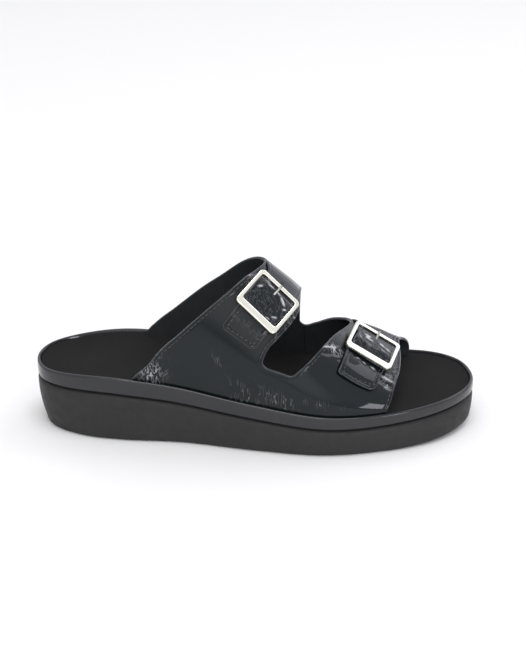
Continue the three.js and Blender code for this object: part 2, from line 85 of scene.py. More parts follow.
@dataclass(frozen=True)
class Sizes:
    """Named sizes of the shoe, in millimetres."""

    length: float = 256.0
    ball_width: float = 91.6
    heel_rim: float = 40.4
    band_height: float = 10.9
    band_wall: float = 2.2
    toe_spring: float = 3.6
    spring_from: float = 0.78
    insole_drop: float = 1.4
    cup_depth: float = 5.0
    dish_depth: float = 2.2
    instep: float = 69.4
    wall: float = 2.0
    root: float = 6.0
    gap_corner: float = 3.0
    strap: float = 1.6
    buckle_width: float = 29.5
    buckle_length: float = 26.0
    buckle_bar: float = 2.3
    buckle_tip_bar: float = 4.3
    buckle_thickness: float = 2.4
    buckle_corner: float = 2.6
    centre_bar: float = 1.6
    bar_drop: float = 0.5
    prong: float = 1.6
    gap: float = 0.3
    girth_length: float = 200.0

    @property
    def insole_edge(self) -> float:
        """Inset of the insole's edge from the rim."""
        return self.band_wall + self.gap


SIZE = Sizes()


class Table:
    """Rows of shares with a smooth value between them."""

    def __init__(self, place: str, columns: str, rows: Sequence[Sequence[float]]) -> None:
        """Keeps the rows.

        Args:
            place: Name of the first column, which the others are looked up by.
            columns: Names of the other columns, separated by blanks.
            rows: Values, one row after another.
        """
        values = np.array(rows, float)
        self.at = values[:, 0]
        self.columns = {name: values[:, 1 + k] for k, name in enumerate(columns.split())}
        self.place = place

    def value(self, column: str, at: Array | float) -> Array:
        """Smooth value of a column.

        Args:
            column: Name of the column.
            at: Places to look up.

        Returns:
            The values, clamped to the ends of the table.
        """
        at = np.asarray(at, float)
        knots, values = self.at, self.columns[column]
        count = len(knots)
        low = np.clip(np.searchsorted(knots, at, side="left") - 1, 0, count - 2)
        before = np.maximum(np.arange(count) - 1, 0)
        after = np.minimum(np.arange(count) + 1, count - 1)
        slopes = (values[after] - values[before]) / (knots[after] - knots[before])
        span = knots[low + 1] - knots[low]
        t = np.clip((at - knots[low]) / span, 0, 1)
        rise = values[low + 1] - values[low]
        bend = (1 - t) * (slopes[low] * span - rise) - t * (slopes[low + 1] * span - rise)
        return values[low] + rise * t + t * (1 - t) * bend


# Outline of the sole: its reach to each side in shares of the ball width, from the heel to the toe
OUTLINE_OUTER = np.array([0, 0.199, 0.317, 0.375, 0.399, 0.484, 0.535, 0.467, 0.344, 0.167, -0.033])
OUTLINE_INNER = np.array([0, 0.188, 0.302, 0.373, 0.393, 0.393, 0.435, 0.465, 0.415, 0.269, 0.033])
# Height of the rim and of the band, in shares of their largest
SIDE = Table("along", "rim band", [
    (0, 0.96, 0.82), (0.2, 1, 1), (0.45, 0.787, 0.9), (0.7, 0.611, 0.76), (1, 0.678, 0.634),
])
# Depth of the insole's dish at a reach in from its edge
DISH = Table("reach", "share", [(0, 0), (2, 0.28), (6, 0.68), (12, 0.93), (20, 1)])
# Crest of the upper: its height in shares of the instep's, and its lean in shares of the ball width
CREST = Table("along", "crest lean", [
    (0.195, 1.95, 0.066), (0.352, 1.45, 0.066), (0.523, 1, 0.066), (0.578, 0.85, 0.07),
    (0.605, 0.763, 0.076), (0.719, 0.455, 0.1), (0.781, 0.335, 0.114), (0.832, 0.235, 0.12),
    (0.938, 0.15, 0.12),
])
# Edges of the upper and of the gap between its straps, in shares of the length
EDGE = Table("girth", "rear front", [
    (0, 0.229, 0.797), (0.02, 0.262, 0.8), (0.05, 0.292, 0.804), (0.1, 0.342, 0.81),
    (0.17, 0.396, 0.818), (0.25, 0.444, 0.825), (0.33, 0.479, 0.83), (0.41, 0.506, 0.833),
    (0.5, 0.5215, 0.832), (0.58, 0.52, 0.833), (0.66, 0.5, 0.837), (0.75, 0.464, 0.85),
    (0.83, 0.42, 0.857), (0.9, 0.362, 0.86), (0.95, 0.31, 0.861), (0.98, 0.268, 0.861), (1, 0.238, 0.861),
])
GAP = Table("girth", "rear front", [
    (0, 0.52, 0.588), (0.1, 0.52, 0.588), (0.155, 0.533, 0.613), (0.2, 0.554, 0.631),
    (0.28, 0.582, 0.654), (0.375, 0.601, 0.679), (0.46, 0.602, 0.701), (0.54, 0.605, 0.716),
    (0.61, 0.605, 0.717), (0.71, 0.603, 0.702), (0.8, 0.601, 0.668), (0.85, 0.6, 0.645),
    (0.89, 0.6, 0.622), (1, 0.6, 0.622),
])
GAP_FLOORS = (0.104, 0.892)
TINY = 1e-9


def smoothstep(low: float, high: float, at: Array | float) -> Array:
    """Smooth rise from 0 at low to 1 at high."""
    t = np.clip((np.asarray(at, float) - low) / (high - low), 0, 1)
    return t * t * (3 - 2 * t)


def stack(*parts: Array | float) -> Array:
    """Points from their coordinates, each broadcast to one shape."""
    return np.stack(np.broadcast_arrays(*parts), axis=-1)


def unit(vectors: Array) -> Array:
    """Vectors at unit length."""
    return vectors / np.maximum(np.linalg.norm(vectors, axis=-1, keepdims=True), TINY)


class Sole:
    """Outline and heights of the sole, in the shoe's axes."""

    STEP = 0.002
    DISH_FADE = (0.2, 0.7)

    def rim(self, turn: Array | float) -> Array:
        """Points of the rim's outline.

        Args:
            turn: Places round it: 0 at the heel, outer side first, 0.5 at the toe.

        Returns:
            The points, x and y.
        """
        turn = np.asarray(turn, float)
        count = len(OUTLINE_OUTER) - 1
        reach = np.concatenate([-OUTLINE_OUTER, OUTLINE_INNER[-2:0:-1]])
        place = turn * 2 * count
        k = np.floor(place).astype(int)
        t = place - k
        p, a, b, n = (reach[(k + step) % (2 * count)] for step in (-1, 0, 1, 2))
        bend = (1 - t) * ((b - p) / 2 - (b - a)) - t * ((n - a) / 2 - (b - a))
        share = a + (b - a) * t + t * (1 - t) * bend
        return stack(SIZE.length * (1 - np.cos(2 * np.pi * turn)) / 2, SIZE.ball_width * share)

    def inset(self, turn: Array, inset: Array | float) -> Array:
        """Point of the outline moved in, square to it."""
        way = unit(self.rim(turn + self.STEP) - self.rim(turn - self.STEP))
        return self.rim(turn) + stack(-way[..., 1], way[..., 0]) * np.asarray(inset)[..., None]

    def reach(self, x: Array, side: int, inset: float) -> Array:
        """Reach of the rim to one side, moved in.

        Args:
            x: Stations along the shoe.
            side: -1 on the outer side, 1 on the inner side.
            inset: How far it is moved in.

        Returns:
            The reach in y.
        """
        turn = np.arccos(np.clip(1 - 2 * x / SIZE.length, -1, 1)) / (2 * np.pi)
        turn = turn if side < 0 else 1 - turn
        way = self.rim(turn + self.STEP) - self.rim(turn - self.STEP)
        return self.rim(turn)[..., 1] - side * inset * np.linalg.norm(way, axis=-1) / np.abs(way[..., 0])

    def rim_height(self, x: Array | float) -> Array:
        """Height of the band's top edge."""
        return SIZE.heel_rim * SIDE.value("rim", np.asarray(x) / SIZE.length)

    def band_bottom(self, x: Array | float) -> Array:
        """Height of the band's lower edge."""
        return self.rim_height(x) - SIZE.band_height * SIDE.value("band", np.asarray(x) / SIZE.length)

    def top(self, x: Array | float) -> Array:
        """Height of the outsole's top."""
        return self.band_bottom(x) - SIZE.gap

    def bottom(self, x: Array | float) -> Array:
        """Height of the outsole's underside."""
        past = np.maximum(0, np.asarray(x) / SIZE.length - SIZE.spring_from) / (1 - SIZE.spring_from)
        return SIZE.toe_spring * past**2

    def dish(self, x: Array, reach: float) -> Array:
        """Height of the insole's top.

        Args:
            x: Stations along the shoe.
            reach: How far in from the insole's edge it lies.

        Returns:
            The heights.
        """
        fade = smoothstep(*self.DISH_FADE, x / SIZE.length)
        depth = SIZE.cup_depth + (SIZE.dish_depth - SIZE.cup_depth) * fade
        return self.rim_height(x) - SIZE.insole_drop - depth * DISH.value("share", min(reach, DISH.at[-1]))


class Last:
    """Arched sections of the upper over the sole."""

    FULLNESS = 2.1
    STEP_X, STEP_GIRTH = 0.5, 0.004
    LEAN_FROM, LEAN_GROWTH, LEAN_FADE = 0.53, 1.1, (0.1, 0.32)

    def __init__(self, sole: Sole) -> None:
        """Keeps the sole that the upper stands on."""
        self.sole = sole

    def point(self, x: Array, girth: Array) -> Array:
        """Points of the outer wall.

        Args:
            x: Stations along the shoe.
            girth: Girths of the wall, from 0 at the outer root to 1 at the inner root.

        Returns:
            The points.
        """
        x, girth = np.broadcast_arrays(np.asarray(x, float), np.asarray(girth, float))
        outer, inner = (self.sole.reach(x, side, SIZE.insole_edge) for side in (-1, 1))
        turn = np.pi * girth
        power = 2 / self.FULLNESS
        across = -np.sign(np.cos(turn)) * np.abs(np.cos(turn)) ** power
        rise = np.maximum(np.sin(turn), 0) ** power
        lean = SIZE.ball_width * CREST.value("lean", x / SIZE.length)
        crest = SIZE.instep * CREST.value("crest", x / SIZE.length)
        y = (outer + inner) / 2 + (inner - outer) / 2 * across + lean * rise**2
        return stack(x, y, self.sole.rim_height(x) + crest * rise)

    def normal(self, x: Array, girth: Array) -> Array:
        """Outward normals of the outer wall.

        Args:
            x: Stations along the shoe.
            girth: Girths of the wall, from 0 at the outer root to 1 at the inner root.

        Returns:
            The normals, at unit length.
        """
        step, turn = self.STEP_X, self.STEP_GIRTH
        g = np.clip(girth, 2 * turn, 1 - 2 * turn)
        along = self.point(x + step, g) - self.point(x - step, g)
        over = self.point(x, g + turn) - self.point(x, g - turn)
        girth = np.broadcast_to(girth, over.shape[:-1])
        over[girth < 2 * turn] = (0, 0, 1)
        over[girth > 1 - 2 * turn] = (0, 0, -1)
        return unit(np.cross(along, over))

    def leaned(self, girth: Array, x: Array) -> Array:
        """Girth of a line of the wall, which grows to the toe low on the outer side."""
        fade = 1 - smoothstep(*self.LEAN_FADE, girth)
        return girth * (1 + self.LEAN_GROWTH * np.maximum(0, x / SIZE.length - self.LEAN_FROM) * fade)


class Frame:
    """Change from the shoe's axes in millimetres to the frame's metres."""

    STEPS = 73
    MILLIMETRES = 1000

    def __init__(self, sole: Sole) -> None:
        """Finds the middle of the outline.

        Args:
            sole: Sole whose outline sets the frame's middle.
        """
        rim = sole.rim(np.linspace(0, 1, self.STEPS))
        middle = (rim.min(axis=0) + rim.max(axis=0)) / 2
        self.shift = np.array([-middle[0], -middle[1], 0.0])

    def metres(self, points: Array) -> Array:
        """Points of the shoe in the frame's metres."""
        return (np.asarray(points, float) + self.shift) / self.MILLIMETRES


@dataclass
class Skin:
    """Vertices, faces and per-vertex values of one piece, in the shoe's axes."""

    points: Array
    faces: list[tuple[int, ...]]
    slots: list[int] = field(default_factory=list)
    values: dict[str, Array] = field(default_factory=dict)


class Maker:
    """Turns skins into Blender objects that ride on the frame."""

    def __init__(self, frame: Frame) -> None:
        """Keeps the change of axes."""
        self.frame = frame

    def make(self, name: str, skin: Skin, materials: Sequence[bpy.types.Material], slot: Slot,
             replaces: Sequence[str] = (), smooth_angle: float = 40.0) -> bpy.types.Object:
        """Makes one piece.

        Args:
            name: Name of the object.
            skin: Its surface.
            materials: Its materials, in the order of the skin's slots.
            slot: The record's slot for the piece; not used.
            replaces: Nodes of the frame that it stands for.
            smooth_angle: Angle in degrees above which an edge stays sharp.

        Returns:
            The object.
        """
        mesh = bpy.data.meshes.new(name)
        mesh.from_pydata(self.frame.metres(skin.points).tolist(), [], skin.faces)
        for material in materials:
            mesh.materials.append(material)
        if skin.slots:
            mesh.polygons.foreach_set("material_index", skin.slots)
        for key, values in skin.values.items():
            layer = mesh.attributes.new(key, "FLOAT", "POINT")
            layer.data.foreach_set("value", np.asarray(values, np.float32).ravel())
        mesh.update()
        mesh.shade_smooth()
        mesh.set_sharp_from_angle(angle=math.radians(smooth_angle))
        piece = bpy.data.objects.new(name, mesh)
        bpy.context.scene.collection.objects.link(piece)
        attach(piece, "root")
        if replaces:
            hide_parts(*replaces)
        log.info("%s: %d vertices, %d faces", name, len(skin.points), len(skin.faces))
        return piece


@dataclass
class Ring:
    """One ring of a loft round the outline: its inset and its height at the points that it gives."""

    inset: Callable[[Array], Array | float]
    height: Callable[[Array], Array]


class Loft:
    """Surfaces swept round the sole's outline."""

    STEPS = 288

    def __init__(self, sole: Sole) -> None:
        """Places the stations of every ring.

        Args:
            sole: Sole whose outline the rings follow.
        """
        self.sole = sole
        self.turn = np.arange(self.STEPS) / self.STEPS
        self.base = sole.rim(self.turn)[:, 0]

    def ring(self, ring: Ring) -> Array:
        """Points of one ring."""
        flat = self.sole.inset(self.turn, np.broadcast_to(ring.inset(self.base), self.base.shape))
        return stack(flat[:, 0], flat[:, 1], ring.height(flat[:, 0]))

    def skin(self, rings: Sequence[Ring], closed: bool = False) -> Skin:
        """Surface through rings that run from the middle of the underside out, up and in again.

        Args:
            rings: The rings in order.
            closed: Whether the last ring meets the first. Otherwise both ends get a cap.

        Returns:
            The skin.
        """
        points = np.concatenate([self.ring(ring) for ring in rings])
        faces = []
        for r in range(len(rings) if closed else len(rings) - 1):
            low, high = r * self.STEPS, ((r + 1) % len(rings)) * self.STEPS
            for k in range(self.STEPS):
                n = (k + 1) % self.STEPS
                faces.append((low + k, low + n, high + n, high + k))
        if not closed:
            faces += self.cap(0, True) + self.cap((len(rings) - 1) * self.STEPS, False)
        return Skin(points, faces)

    def cap(self, start: int, under: bool) -> list[tuple[int, ...]]:
        """Ladder of faces between the two sides of one ring.

        Args:
            start: Number of the ring's first point.
            under: Whether the faces look down.

        Returns:
            The faces.
        """
        faces = []
        for k in range(self.STEPS // 2):
            a, b = start + k, start + k + 1
            c, d = start + (self.STEPS - k) % self.STEPS, start + self.STEPS - k - 1
            face = tuple(dict.fromkeys((a, b, d, c)))
            faces.append(face[::-1] if under else face)
        return faces


def quarter(count: int) -> list[tuple[float, float]]:
    """Shares along and up a quarter round, from its foot to its top."""
    return [(1 - math.sin(a), 1 - math.cos(a)) for a in np.linspace(0, math.pi / 2, count)]


@dataclass
class SoleUnit:
    """Outsole, band and insole round the hidden core, with the sizes of their own edges in millimetres."""

    maker: Maker
    sole: Sole
    groove: float = 1.6
    shoulder: float = 3.0
    top_inset: float = 2.2
    taper: float = 0.9
    heel_undercut: float = 2.8
    undercut_length: float = 36.0
    ground_edge: float = 2.6
    band_edge: float = 1.1
    band_swell: float = 0.12
    band_lip: float = 0.6
    lip_drops: tuple[float, float] = (0.15, 0.9)
    insole_thickness: float = 1.8
    round_steps: int = 7
    side_shares: tuple[float, ...] = (0.2, 0.4, 0.6, 0.8)
    swell_shares: tuple[float, ...] = (0.3, 0.65)
    groove_lines: tuple[tuple[float, float], ...] = (
        (0, 1.95), (0.3, 1.9), (0.6, 1.6), (0.8, 0.9), (0.92, 0.35), (1, 0.05),
    )
    insole_reaches: tuple[float, ...] = (0, 0.4, 1, 2, 3, 4.5, 6, 8, 10, 12, 14, 16, 18, 20)

    def build(self, finishes: "Finishes", core: bpy.types.Object) -> None:
        """Makes and dresses the pieces.

        Args:
            finishes: Materials of the shoe.
            core: Node of the hidden core, which keeps its mesh.
        """
        self.maker.make("outsole_skin", self.outsole(), [finishes.foam], Slot.SOLE, ["outsole"])
        self.maker.make("band_skin", self.band(), [finishes.band], Slot.BAND, ["rand"])
        self.maker.make("insole_skin", self.insole(), [finishes.nap], Slot.INSOLE, ["insole"])
        core.data.materials.clear()
        core.data.materials.append(finishes.cork)
        log.info("footbed: dressed as it is")

    def outsole(self) -> Skin:
        """Wedge with a rounded ground edge, a soft side and a rounded shoulder.

        Returns:
            The skin.
        """
        sole = self.sole
        rings = []
        for inward, up in quarter(self.round_steps):
            rings.append(Ring(
                lambda x, i=inward: self.side_inset(x) + i * self.ground_edge,
                lambda x, u=up: sole.bottom(x) + u * self.ground_edge,
            ))
        for share in self.side_shares:
            rings.append(Ring(
                lambda x, s=share: self.side_inset(x) * (1 - s) ** 2,
                lambda x, s=share: self.side(x, s),
            ))
        for inward, up in quarter(self.round_steps)[::-1]:
            rings.append(Ring(
                lambda x, i=inward: i * self.top_inset,
                lambda x, u=up: sole.top(x) - u * self.shoulder,
            ))
        return Loft(sole).skin(rings)

    def side_inset(self, x: Array) -> Array:
        """Inset of the outsole's foot from the outline, larger under the heel."""
        return self.taper + self.heel_undercut * np.maximum(0, 1 - x / self.undercut_length)

    def side(self, x: Array, share: float) -> Array:
        """Height of a line on the outsole's side."""
        low, high = self.sole.bottom(x) + self.ground_edge, self.sole.top(x) - self.shoulder
        return low + share * (high - low)

    def band(self) -> Skin:
        """Band round the footbed, with a rounded top edge and a groove at its foot.

        Returns:
            The skin.
        """
        sole = self.sole
        rings = [Ring(lambda x: SIZE.band_wall, sole.band_bottom)]
        for share, inset in self.groove_lines:
            rings.append(Ring(
                lambda x, i=inset: i,
                lambda x, s=share: sole.band_bottom(x) + s * self.groove,
            ))
        for share in self.swell_shares:
            rings.append(Ring(
                lambda x, s=share: -self.band_swell * math.sin(math.pi * s),
                lambda x, s=share: self.band_side(x, s),
            ))
        for inward, up in quarter(self.round_steps - 1)[::-1]:
            rings.append(Ring(
                lambda x, i=inward: i * self.band_edge,
                lambda x, u=up: sole.rim_height(x) - u * self.band_edge,
            ))
        for inset, drop in zip((self.band_edge + self.band_lip, SIZE.band_wall), self.lip_drops):
            rings.append(Ring(lambda x, i=inset: i, lambda x, d=drop: sole.rim_height(x) - d))
        return Loft(sole).skin(rings, closed=True)

    def band_side(self, x: Array, share: float) -> Array:
        """Height of a line on the band's side."""
        low, high = self.sole.band_bottom(x) + self.groove, self.sole.rim_height(x) - self.band_edge
        return low + share * (high - low)

    def insole(self) -> Skin:
        """Dished insole cover, with its underside.

        Returns:
            The skin.
        """
        rings = []
        outward = self.insole_reaches[::-1]
        for drop, reaches in ((self.insole_thickness, outward), (0, self.insole_reaches)):
            for reach in reaches:
                rings.append(Ring(
                    lambda x, r=reach: SIZE.insole_edge + r,
                    lambda x, r=reach, d=drop: self.sole.dish(x, r) - d,
                ))
        return Loft(self.sole).skin(rings)


@dataclass(frozen=True)
class Patch:
    """Place on the outer wall where the leather is crinkled or creased."""

    x: float
    girth: float
    reach_x: float
    reach_girth: float
    strength: float


@dataclass(frozen=True)
class Fold:
    """Soft fold of the leather from one place to another, in millimetres over its face."""

    start: tuple[float, float]
    end: tuple[float, float]
    width: float
    height: float


@dataclass(frozen=True)
class Wrinkles:
    """Cluster of short folds that stand side by side low on the wall, with how much they may differ."""

    OFF_PLACE: ClassVar[float] = 0.3
    OFF_FOOT: ClassVar[float] = 0.35
    OFF_HEAD: ClassVar[float] = 0.5
    LEANS: ClassVar[tuple[float, float]] = (-1.2, 1.6)
    HEIGHTS: ClassVar[tuple[float, float]] = (0.5, 1.0)
    WIDTHS: ClassVar[tuple[float, float]] = (0.7, 1.2)

    start: float
    end: float
    low: float
    high: float
    count: int
    height: float
    seed: int

    def folds(self) -> list[Fold]:
        """Draws the cluster's folds, each a little off its even place.

        Returns:
            The folds.
        """
        drift = np.random.default_rng(self.seed)
        folds = []
        reach = self.high - self.low
        for k in range(self.count):
            place = (k + drift.uniform(-self.OFF_PLACE, self.OFF_PLACE)) / (self.count - 1)
            x = self.start + (self.end - self.start) * place
            low = self.low + drift.uniform(0, self.OFF_FOOT) * reach
            high = self.high - drift.uniform(0, self.OFF_HEAD) * reach
            lean = drift.uniform(*self.LEANS)
            height = self.height * drift.uniform(*self.HEIGHTS) * (1 if k % 2 else -1)
            folds.append(Fold((x, low), (x + lean, high), drift.uniform(*self.WIDTHS), height))
        return folds


@dataclass(frozen=True)
class Plateau:
    """Where a strap rises and falls over the centre bar, along it from the tip's side to the crest's."""

    low: float
    low_end: float
    high: float
    high_end: float

    def value(self, v: Array) -> Array:
        """Share of the full lift."""
        return (1 - smoothstep(self.high, self.high_end, v)) * smoothstep(self.low_end, self.low, v)


# Crinkled places of the wall: bumped relief there, and painted glints as well.
CRINKLES = (
    Patch(70, 0.014, 7, 0.022, 1.0),
    Patch(127, 0.34, 5, 0.05, 0.8),
    Patch(150, 0.30, 5, 0.08, 0.9),
    Patch(174, 0.30, 5, 0.03, 1.0),
    Patch(191, 0.30, 12, 0.02, 0.5),
    Patch(204, 0.21, 5, 0.04, 1.0),
    Patch(209, 0.30, 4, 0.05, 0.6),
)
# Creased places of the wall: bumped relief there, and painted glints as well.
CREASED = (
    Patch(71, 0.016, 9, 0.028, 1.0),
    Patch(126, 0.022, 10, 0.022, 1.0),
    Patch(146, 0.020, 9, 0.022, 1.0),
    Patch(165, 0.046, 10, 0.016, 0.7),
    Patch(107, 0.078, 7, 0.012, 0.4),
)
WRINKLES = (
    Wrinkles(64, 78, 0.3, 6.5, 8, 0.45, 3),
    Wrinkles(112, 134, 0.5, 8.5, 10, 0.22, 5),
    Wrinkles(134, 155, 0.5, 9.0, 9, 0.26, 8),
    Wrinkles(156, 171, 4.0, 11.0, 7, 0.22, 11),
)
CREASES = (
    Fold((163, 54), (178, 64), 1.3, 0.60),
    Fold((166, 50), (180, 59), 1.2, -0.52),
    Fold((171, 52), (179, 56), 0.9, 0.52),
    Fold((198, 50), (209, 41), 1.4, 0.68),
    Fold((199, 44), (208, 35), 1.3, -0.60),
    Fold((200, 38), (208, 30), 1.2, 0.52),
    Fold((142, 62), (151, 54), 1.1, 0.45),
    Fold((144, 50), (149, 44), 1.1, -0.45),
    Fold((121, 66), (130, 76), 1.0, 0.45),
    Fold((119, 60), (128, 70), 1.0, -0.38),
)
REAR_FOLDS = (
    Fold((-7.5, 7.2), (-0.7, 7.9), 0.9, 0.83),
    Fold((-0.7, 7.9), (3.0, 6.6), 0.9, 0.75),
    Fold((2.8, 6.9), (9.6, 3.2), 0.8, 0.90),
    Fold((-9.5, 9.0), (-5.0, 9.6), 0.8, 0.60),
    Fold((-10.8, 1.5), (-7.4, 4.4), 0.8, 0.68),
    Fold((-10.6, -1.2), (-7.6, 0.6), 0.8, -0.52),
    Fold((8.6, 1.2), (11.2, 3.0), 0.7, 0.68),
    Fold((6.0, -6.0), (10.8, -3.4), 0.8, 0.60),
    Fold((3.0, -7.6), (8.6, -7.0), 0.7, 0.52),
    Fold((-4.0, -2.2), (1.4, -3.6), 0.7, 0.24),
)
FRONT_FOLDS = (
    Fold((-8.5, 2.4), (-3.0, 2.6), 0.8, 0.83),
    Fold((-3.4, 2.6), (-6.8, 0.2), 0.7, 0.68),
    Fold((-6.8, 0.2), (0.4, 0.4), 0.8, 0.75),
    Fold((2.2, 2.4), (6.4, 0.6), 0.8, 0.90),
    Fold((6.2, 1.2), (10.6, -0.4), 0.8, 0.75),
    Fold((3.0, -1.6), (9.4, -3.2), 0.7, 0.52),
    Fold((-10.8, 4.6), (-9.6, 9.4), 0.7, 0.75),
    Fold((-11.0, -0.8), (-8.4, -3.8), 0.7, 0.52),
    Fold((-5.5, -3.2), (0.8, -4.8), 0.7, 0.45),
    Fold((-7.0, -15.5), (-2.4, -14.2), 0.9, 0.52),
    Fold((-2.8, -14.8), (2.4, -15.6), 0.9, 0.52),
    Fold((3.0, -14.6), (8.6, -15.8), 0.9, 0.60),
)


FOLD_FADE = 1.25
# Girths where the crest's coat thins, a painted shade on its reflection.
CREST_RISE, CREST_FALL = (0.4, 0.46), (0.6, 0.68)
# Fold heights over which a ridge's painted highlight comes in.
GLINT_HEIGHTS = (0.25, 0.75)
ROOM_PARTS, CROWDING = 2.5, 1.5
SHORTEST, BATCH = 1e-12, 1500


def folded(folds: Sequence[Fold], first: Array, second: Array) -> Array:
    """Height of a set of folds over a face.

    Args:
        folds: The folds.
        first: Places on the face, first length.
        second: Places on the face, second length.

    Returns:
        The heights.
    """
    height = np.zeros(np.broadcast(first, second).shape)
    for fold in folds:
        start, end = np.array(fold.start), np.array(fold.end)
        way = end - start
        arm = stack(first, second) - start
        t = (arm @ way) / (way @ way)
        off = np.linalg.norm(arm - np.clip(t, 0, 1)[..., None] * way, axis=-1)
        fade = np.clip(FOLD_FADE - np.abs(2 * t - 1), 0, 1)
        height += fold.height * np.exp(-((off / fold.width) ** 2)) * fade
    return height


def crest_dimming_share(girth: Array) -> Array:
    """How near the crest a place of the wall lies, where a thinner coat dims the reflection as painted shade.
    """
    return smoothstep(*CREST_RISE, girth) * (1 - smoothstep(*CREST_FALL, girth))


def ridge_glint_share(height: Array) -> Array:
    """How much painted highlight a fold's ridge gets, from its height."""
    return smoothstep(*GLINT_HEIGHTS, height)


@dataclass(frozen=True)
class Strap:
    """A strap's end on the outer quarter, in shares of the shoe's length and of the buckle's window."""

    name: str
    buckle_girth: float
    tilt: float
    slant: float
    rows: Table
    holes: tuple[float, ...]
    prong_hole: float
    plateau: Plateau
    folds: tuple[Fold, ...]


REAR_ROWS = Table("girth", "middle width", [
    (0.145, 0.4675, 0.771), (0.23, 0.503, 0.75), (0.3, 0.5285, 0.80), (0.38, 0.551, 0.75),
    (0.43, 0.561, 0.71), (0.5, 0.563, 0.782), (0.58, 0.563, 0.782),
])
FRONT_ROWS = Table("girth", "middle width", [
    (0.17, 0.725, 0.864), (0.25, 0.7385, 0.883), (0.35, 0.755, 0.91), (0.45, 0.769, 0.88),
    (0.55, 0.7755, 0.936), (0.62, 0.776, 1.07), (0.7, 0.7715, 1.224),
])
STRAPS = (
    Strap(
        name="rear", buckle_girth=0.298, tilt=0.0, slant=0.014, rows=REAR_ROWS, holes=(16.5, -1.6),
        prong_hole=6.7, plateau=Plateau(-7.2, -9.4, 6.6, 9.8), folds=REAR_FOLDS,
    ),
    Strap(
        name="front", buckle_girth=0.376, tilt=0.05, slant=0.044, rows=FRONT_ROWS, holes=(0.9,),
        prong_hole=8.6, plateau=Plateau(-3.5, -9.2, 5.2, 9.8), folds=FRONT_FOLDS,
    ),
)


def mask(patches: Sequence[Patch], x: Array, girth: Array) -> Array:
    """How crinkled or creased the leather is.

    Args:
        patches: Places where it is.
        x: Stations along the shoe.
        girth: Girths of the wall, from 0 at the outer root to 1 at the inner root.

    Returns:
        Shares from 0 to 1.
    """
    amount = np.zeros(np.broadcast(x, girth).shape)
    for patch in patches:
        along, over = (x - patch.x) / patch.reach_x, (girth - patch.girth) / patch.reach_girth
        amount += patch.strength * np.exp(-(along**2) - over**2)
    return np.clip(amount, 0, 1)


def wall_relief(x: Array, girth: Array) -> Array:
    """Height of the creases and wrinkles over the wall.

    Args:
        x: Stations along the shoe.
        girth: Girths of the wall, from 0 at the outer root to 1 at the inner root.

    Returns:
        The heights.
    """
    folds = list(CREASES)
    for cluster in WRINKLES:
        folds += cluster.folds()
    return folded(folds, x, girth * SIZE.girth_length)


def distance_to(points: Array, lines: Sequence[Array]) -> Array:
    """Least distance from points to a set of polylines.

    Args:
        points: The points, in any shape.
        lines: The polylines.

    Returns:
        The distances.
    """
    flat = points.reshape(-1, 3)
    starts = np.concatenate([line[:-1] for line in lines])
    ways = np.concatenate([line[1:] - line[:-1] for line in lines])
    lengths = np.maximum((ways**2).sum(axis=1), SHORTEST)
    best = np.empty(len(flat))
    for low in range(0, len(flat), BATCH):
        arms = flat[low : low + BATCH, None, :] - starts
        t = np.clip((arms * ways).sum(axis=2) / lengths, 0, 1)
        off = ((arms - ways * t[..., None]) ** 2).sum(axis=2)
        best[low : low + BATCH] = np.sqrt(off.min(axis=1))
    return best.reshape(points.shape[:-1])


def edge_drop(distance: Array, radius: float) -> Array:
    """How far a rounded edge falls below its face at a distance from the edge."""
    past = np.clip(radius - distance, 0, radius)
    return radius - np.sqrt(radius**2 - past**2)


def bump_at(distance: Array, inset: float, width: float) -> Array:
    """Line of unit height that runs beside an edge."""
    return np.exp(-(((distance - inset) / width) ** 2))


def clustered(low: Array, high: Array, count: int, steps: Sequence[float]) -> Array:
    """Stations between two edges, close together near both.

    Args:
        low: Lower edge, one value a row.
        high: Upper edge, one value a row.
        count: Number of stations between the two clusters.
        steps: Distances of the clustered stations from their edge.

    Returns:
        Stations, one row of them for each value of the edges.
    """
    room = (high - low)[:, None] / ROOM_PARTS
    even = np.linspace(0, 1, len(steps))[None, :]
    near = np.minimum(np.array(steps)[None, :], room * even**CROWDING)
    start, end = low[:, None] + near, high[:, None] - near[:, ::-1]
    t = (np.arange(1, count + 1) / (count + 1))[None, :]
    between = start[:, -1:] + (end[:, :1] - start[:, -1:]) * t
    return np.concatenate([start, between, end], axis=1)


def sheet(top: Array, under: Array, is_open: Array, values: dict[str, Array]) -> Skin:
    """Closed sheet between two grids of points.

    Args:
        top: Outer grid, rows by columns by three.
        under: Inner grid of the same shape.
        is_open: Cells that are left out.
        values: Per-vertex values of the outer grid, which the inner grid shares.

    Returns:
        The skin: slot 0 on the outer face, slot 1 on the inner face, slot 2 on the cut edges.
    """
    rows, columns = top.shape[:2]
    index = np.arange(rows * columns).reshape(rows, columns)
    below = index + rows * columns
    faces, slots = [], []
    padded = np.pad(is_open, 1, constant_values=True)
    for i, j in np.argwhere(~is_open):
        a, b, c, d = index[i, j], index[i, j + 1], index[i + 1, j + 1], index[i + 1, j]
        e, f, g, h = below[i, j], below[i, j + 1], below[i + 1, j + 1], below[i + 1, j]
        cell = [(a, b, c, d)]
        if padded[i, j + 1]:
            cell.append((a, e, f, b))
        if padded[i + 2, j + 1]:
            cell.append((d, c, g, h))
        if padded[i + 1, j]:
            cell.append((a, d, h, e))
        if padded[i + 1, j + 2]:
            cell.append((b, f, g, c))
        faces += [tuple(int(v) for v in face) for face in [*cell, (e, h, g, f)]]
        slots += [0] + [2] * (len(cell) - 1) + [1]
    points = np.concatenate([top.reshape(-1, 3), under.reshape(-1, 3)])
    return Skin(points, faces, slots, {key: np.tile(value.ravel(), 2) for key, value in values.items()})


# Distances from a cut edge at which a sheet has its close lines of points
EDGE_STEPS = (0, 0.15, 0.35, 0.6, 0.95, 1.4, 1.8, 2.2, 2.6, 3.2)


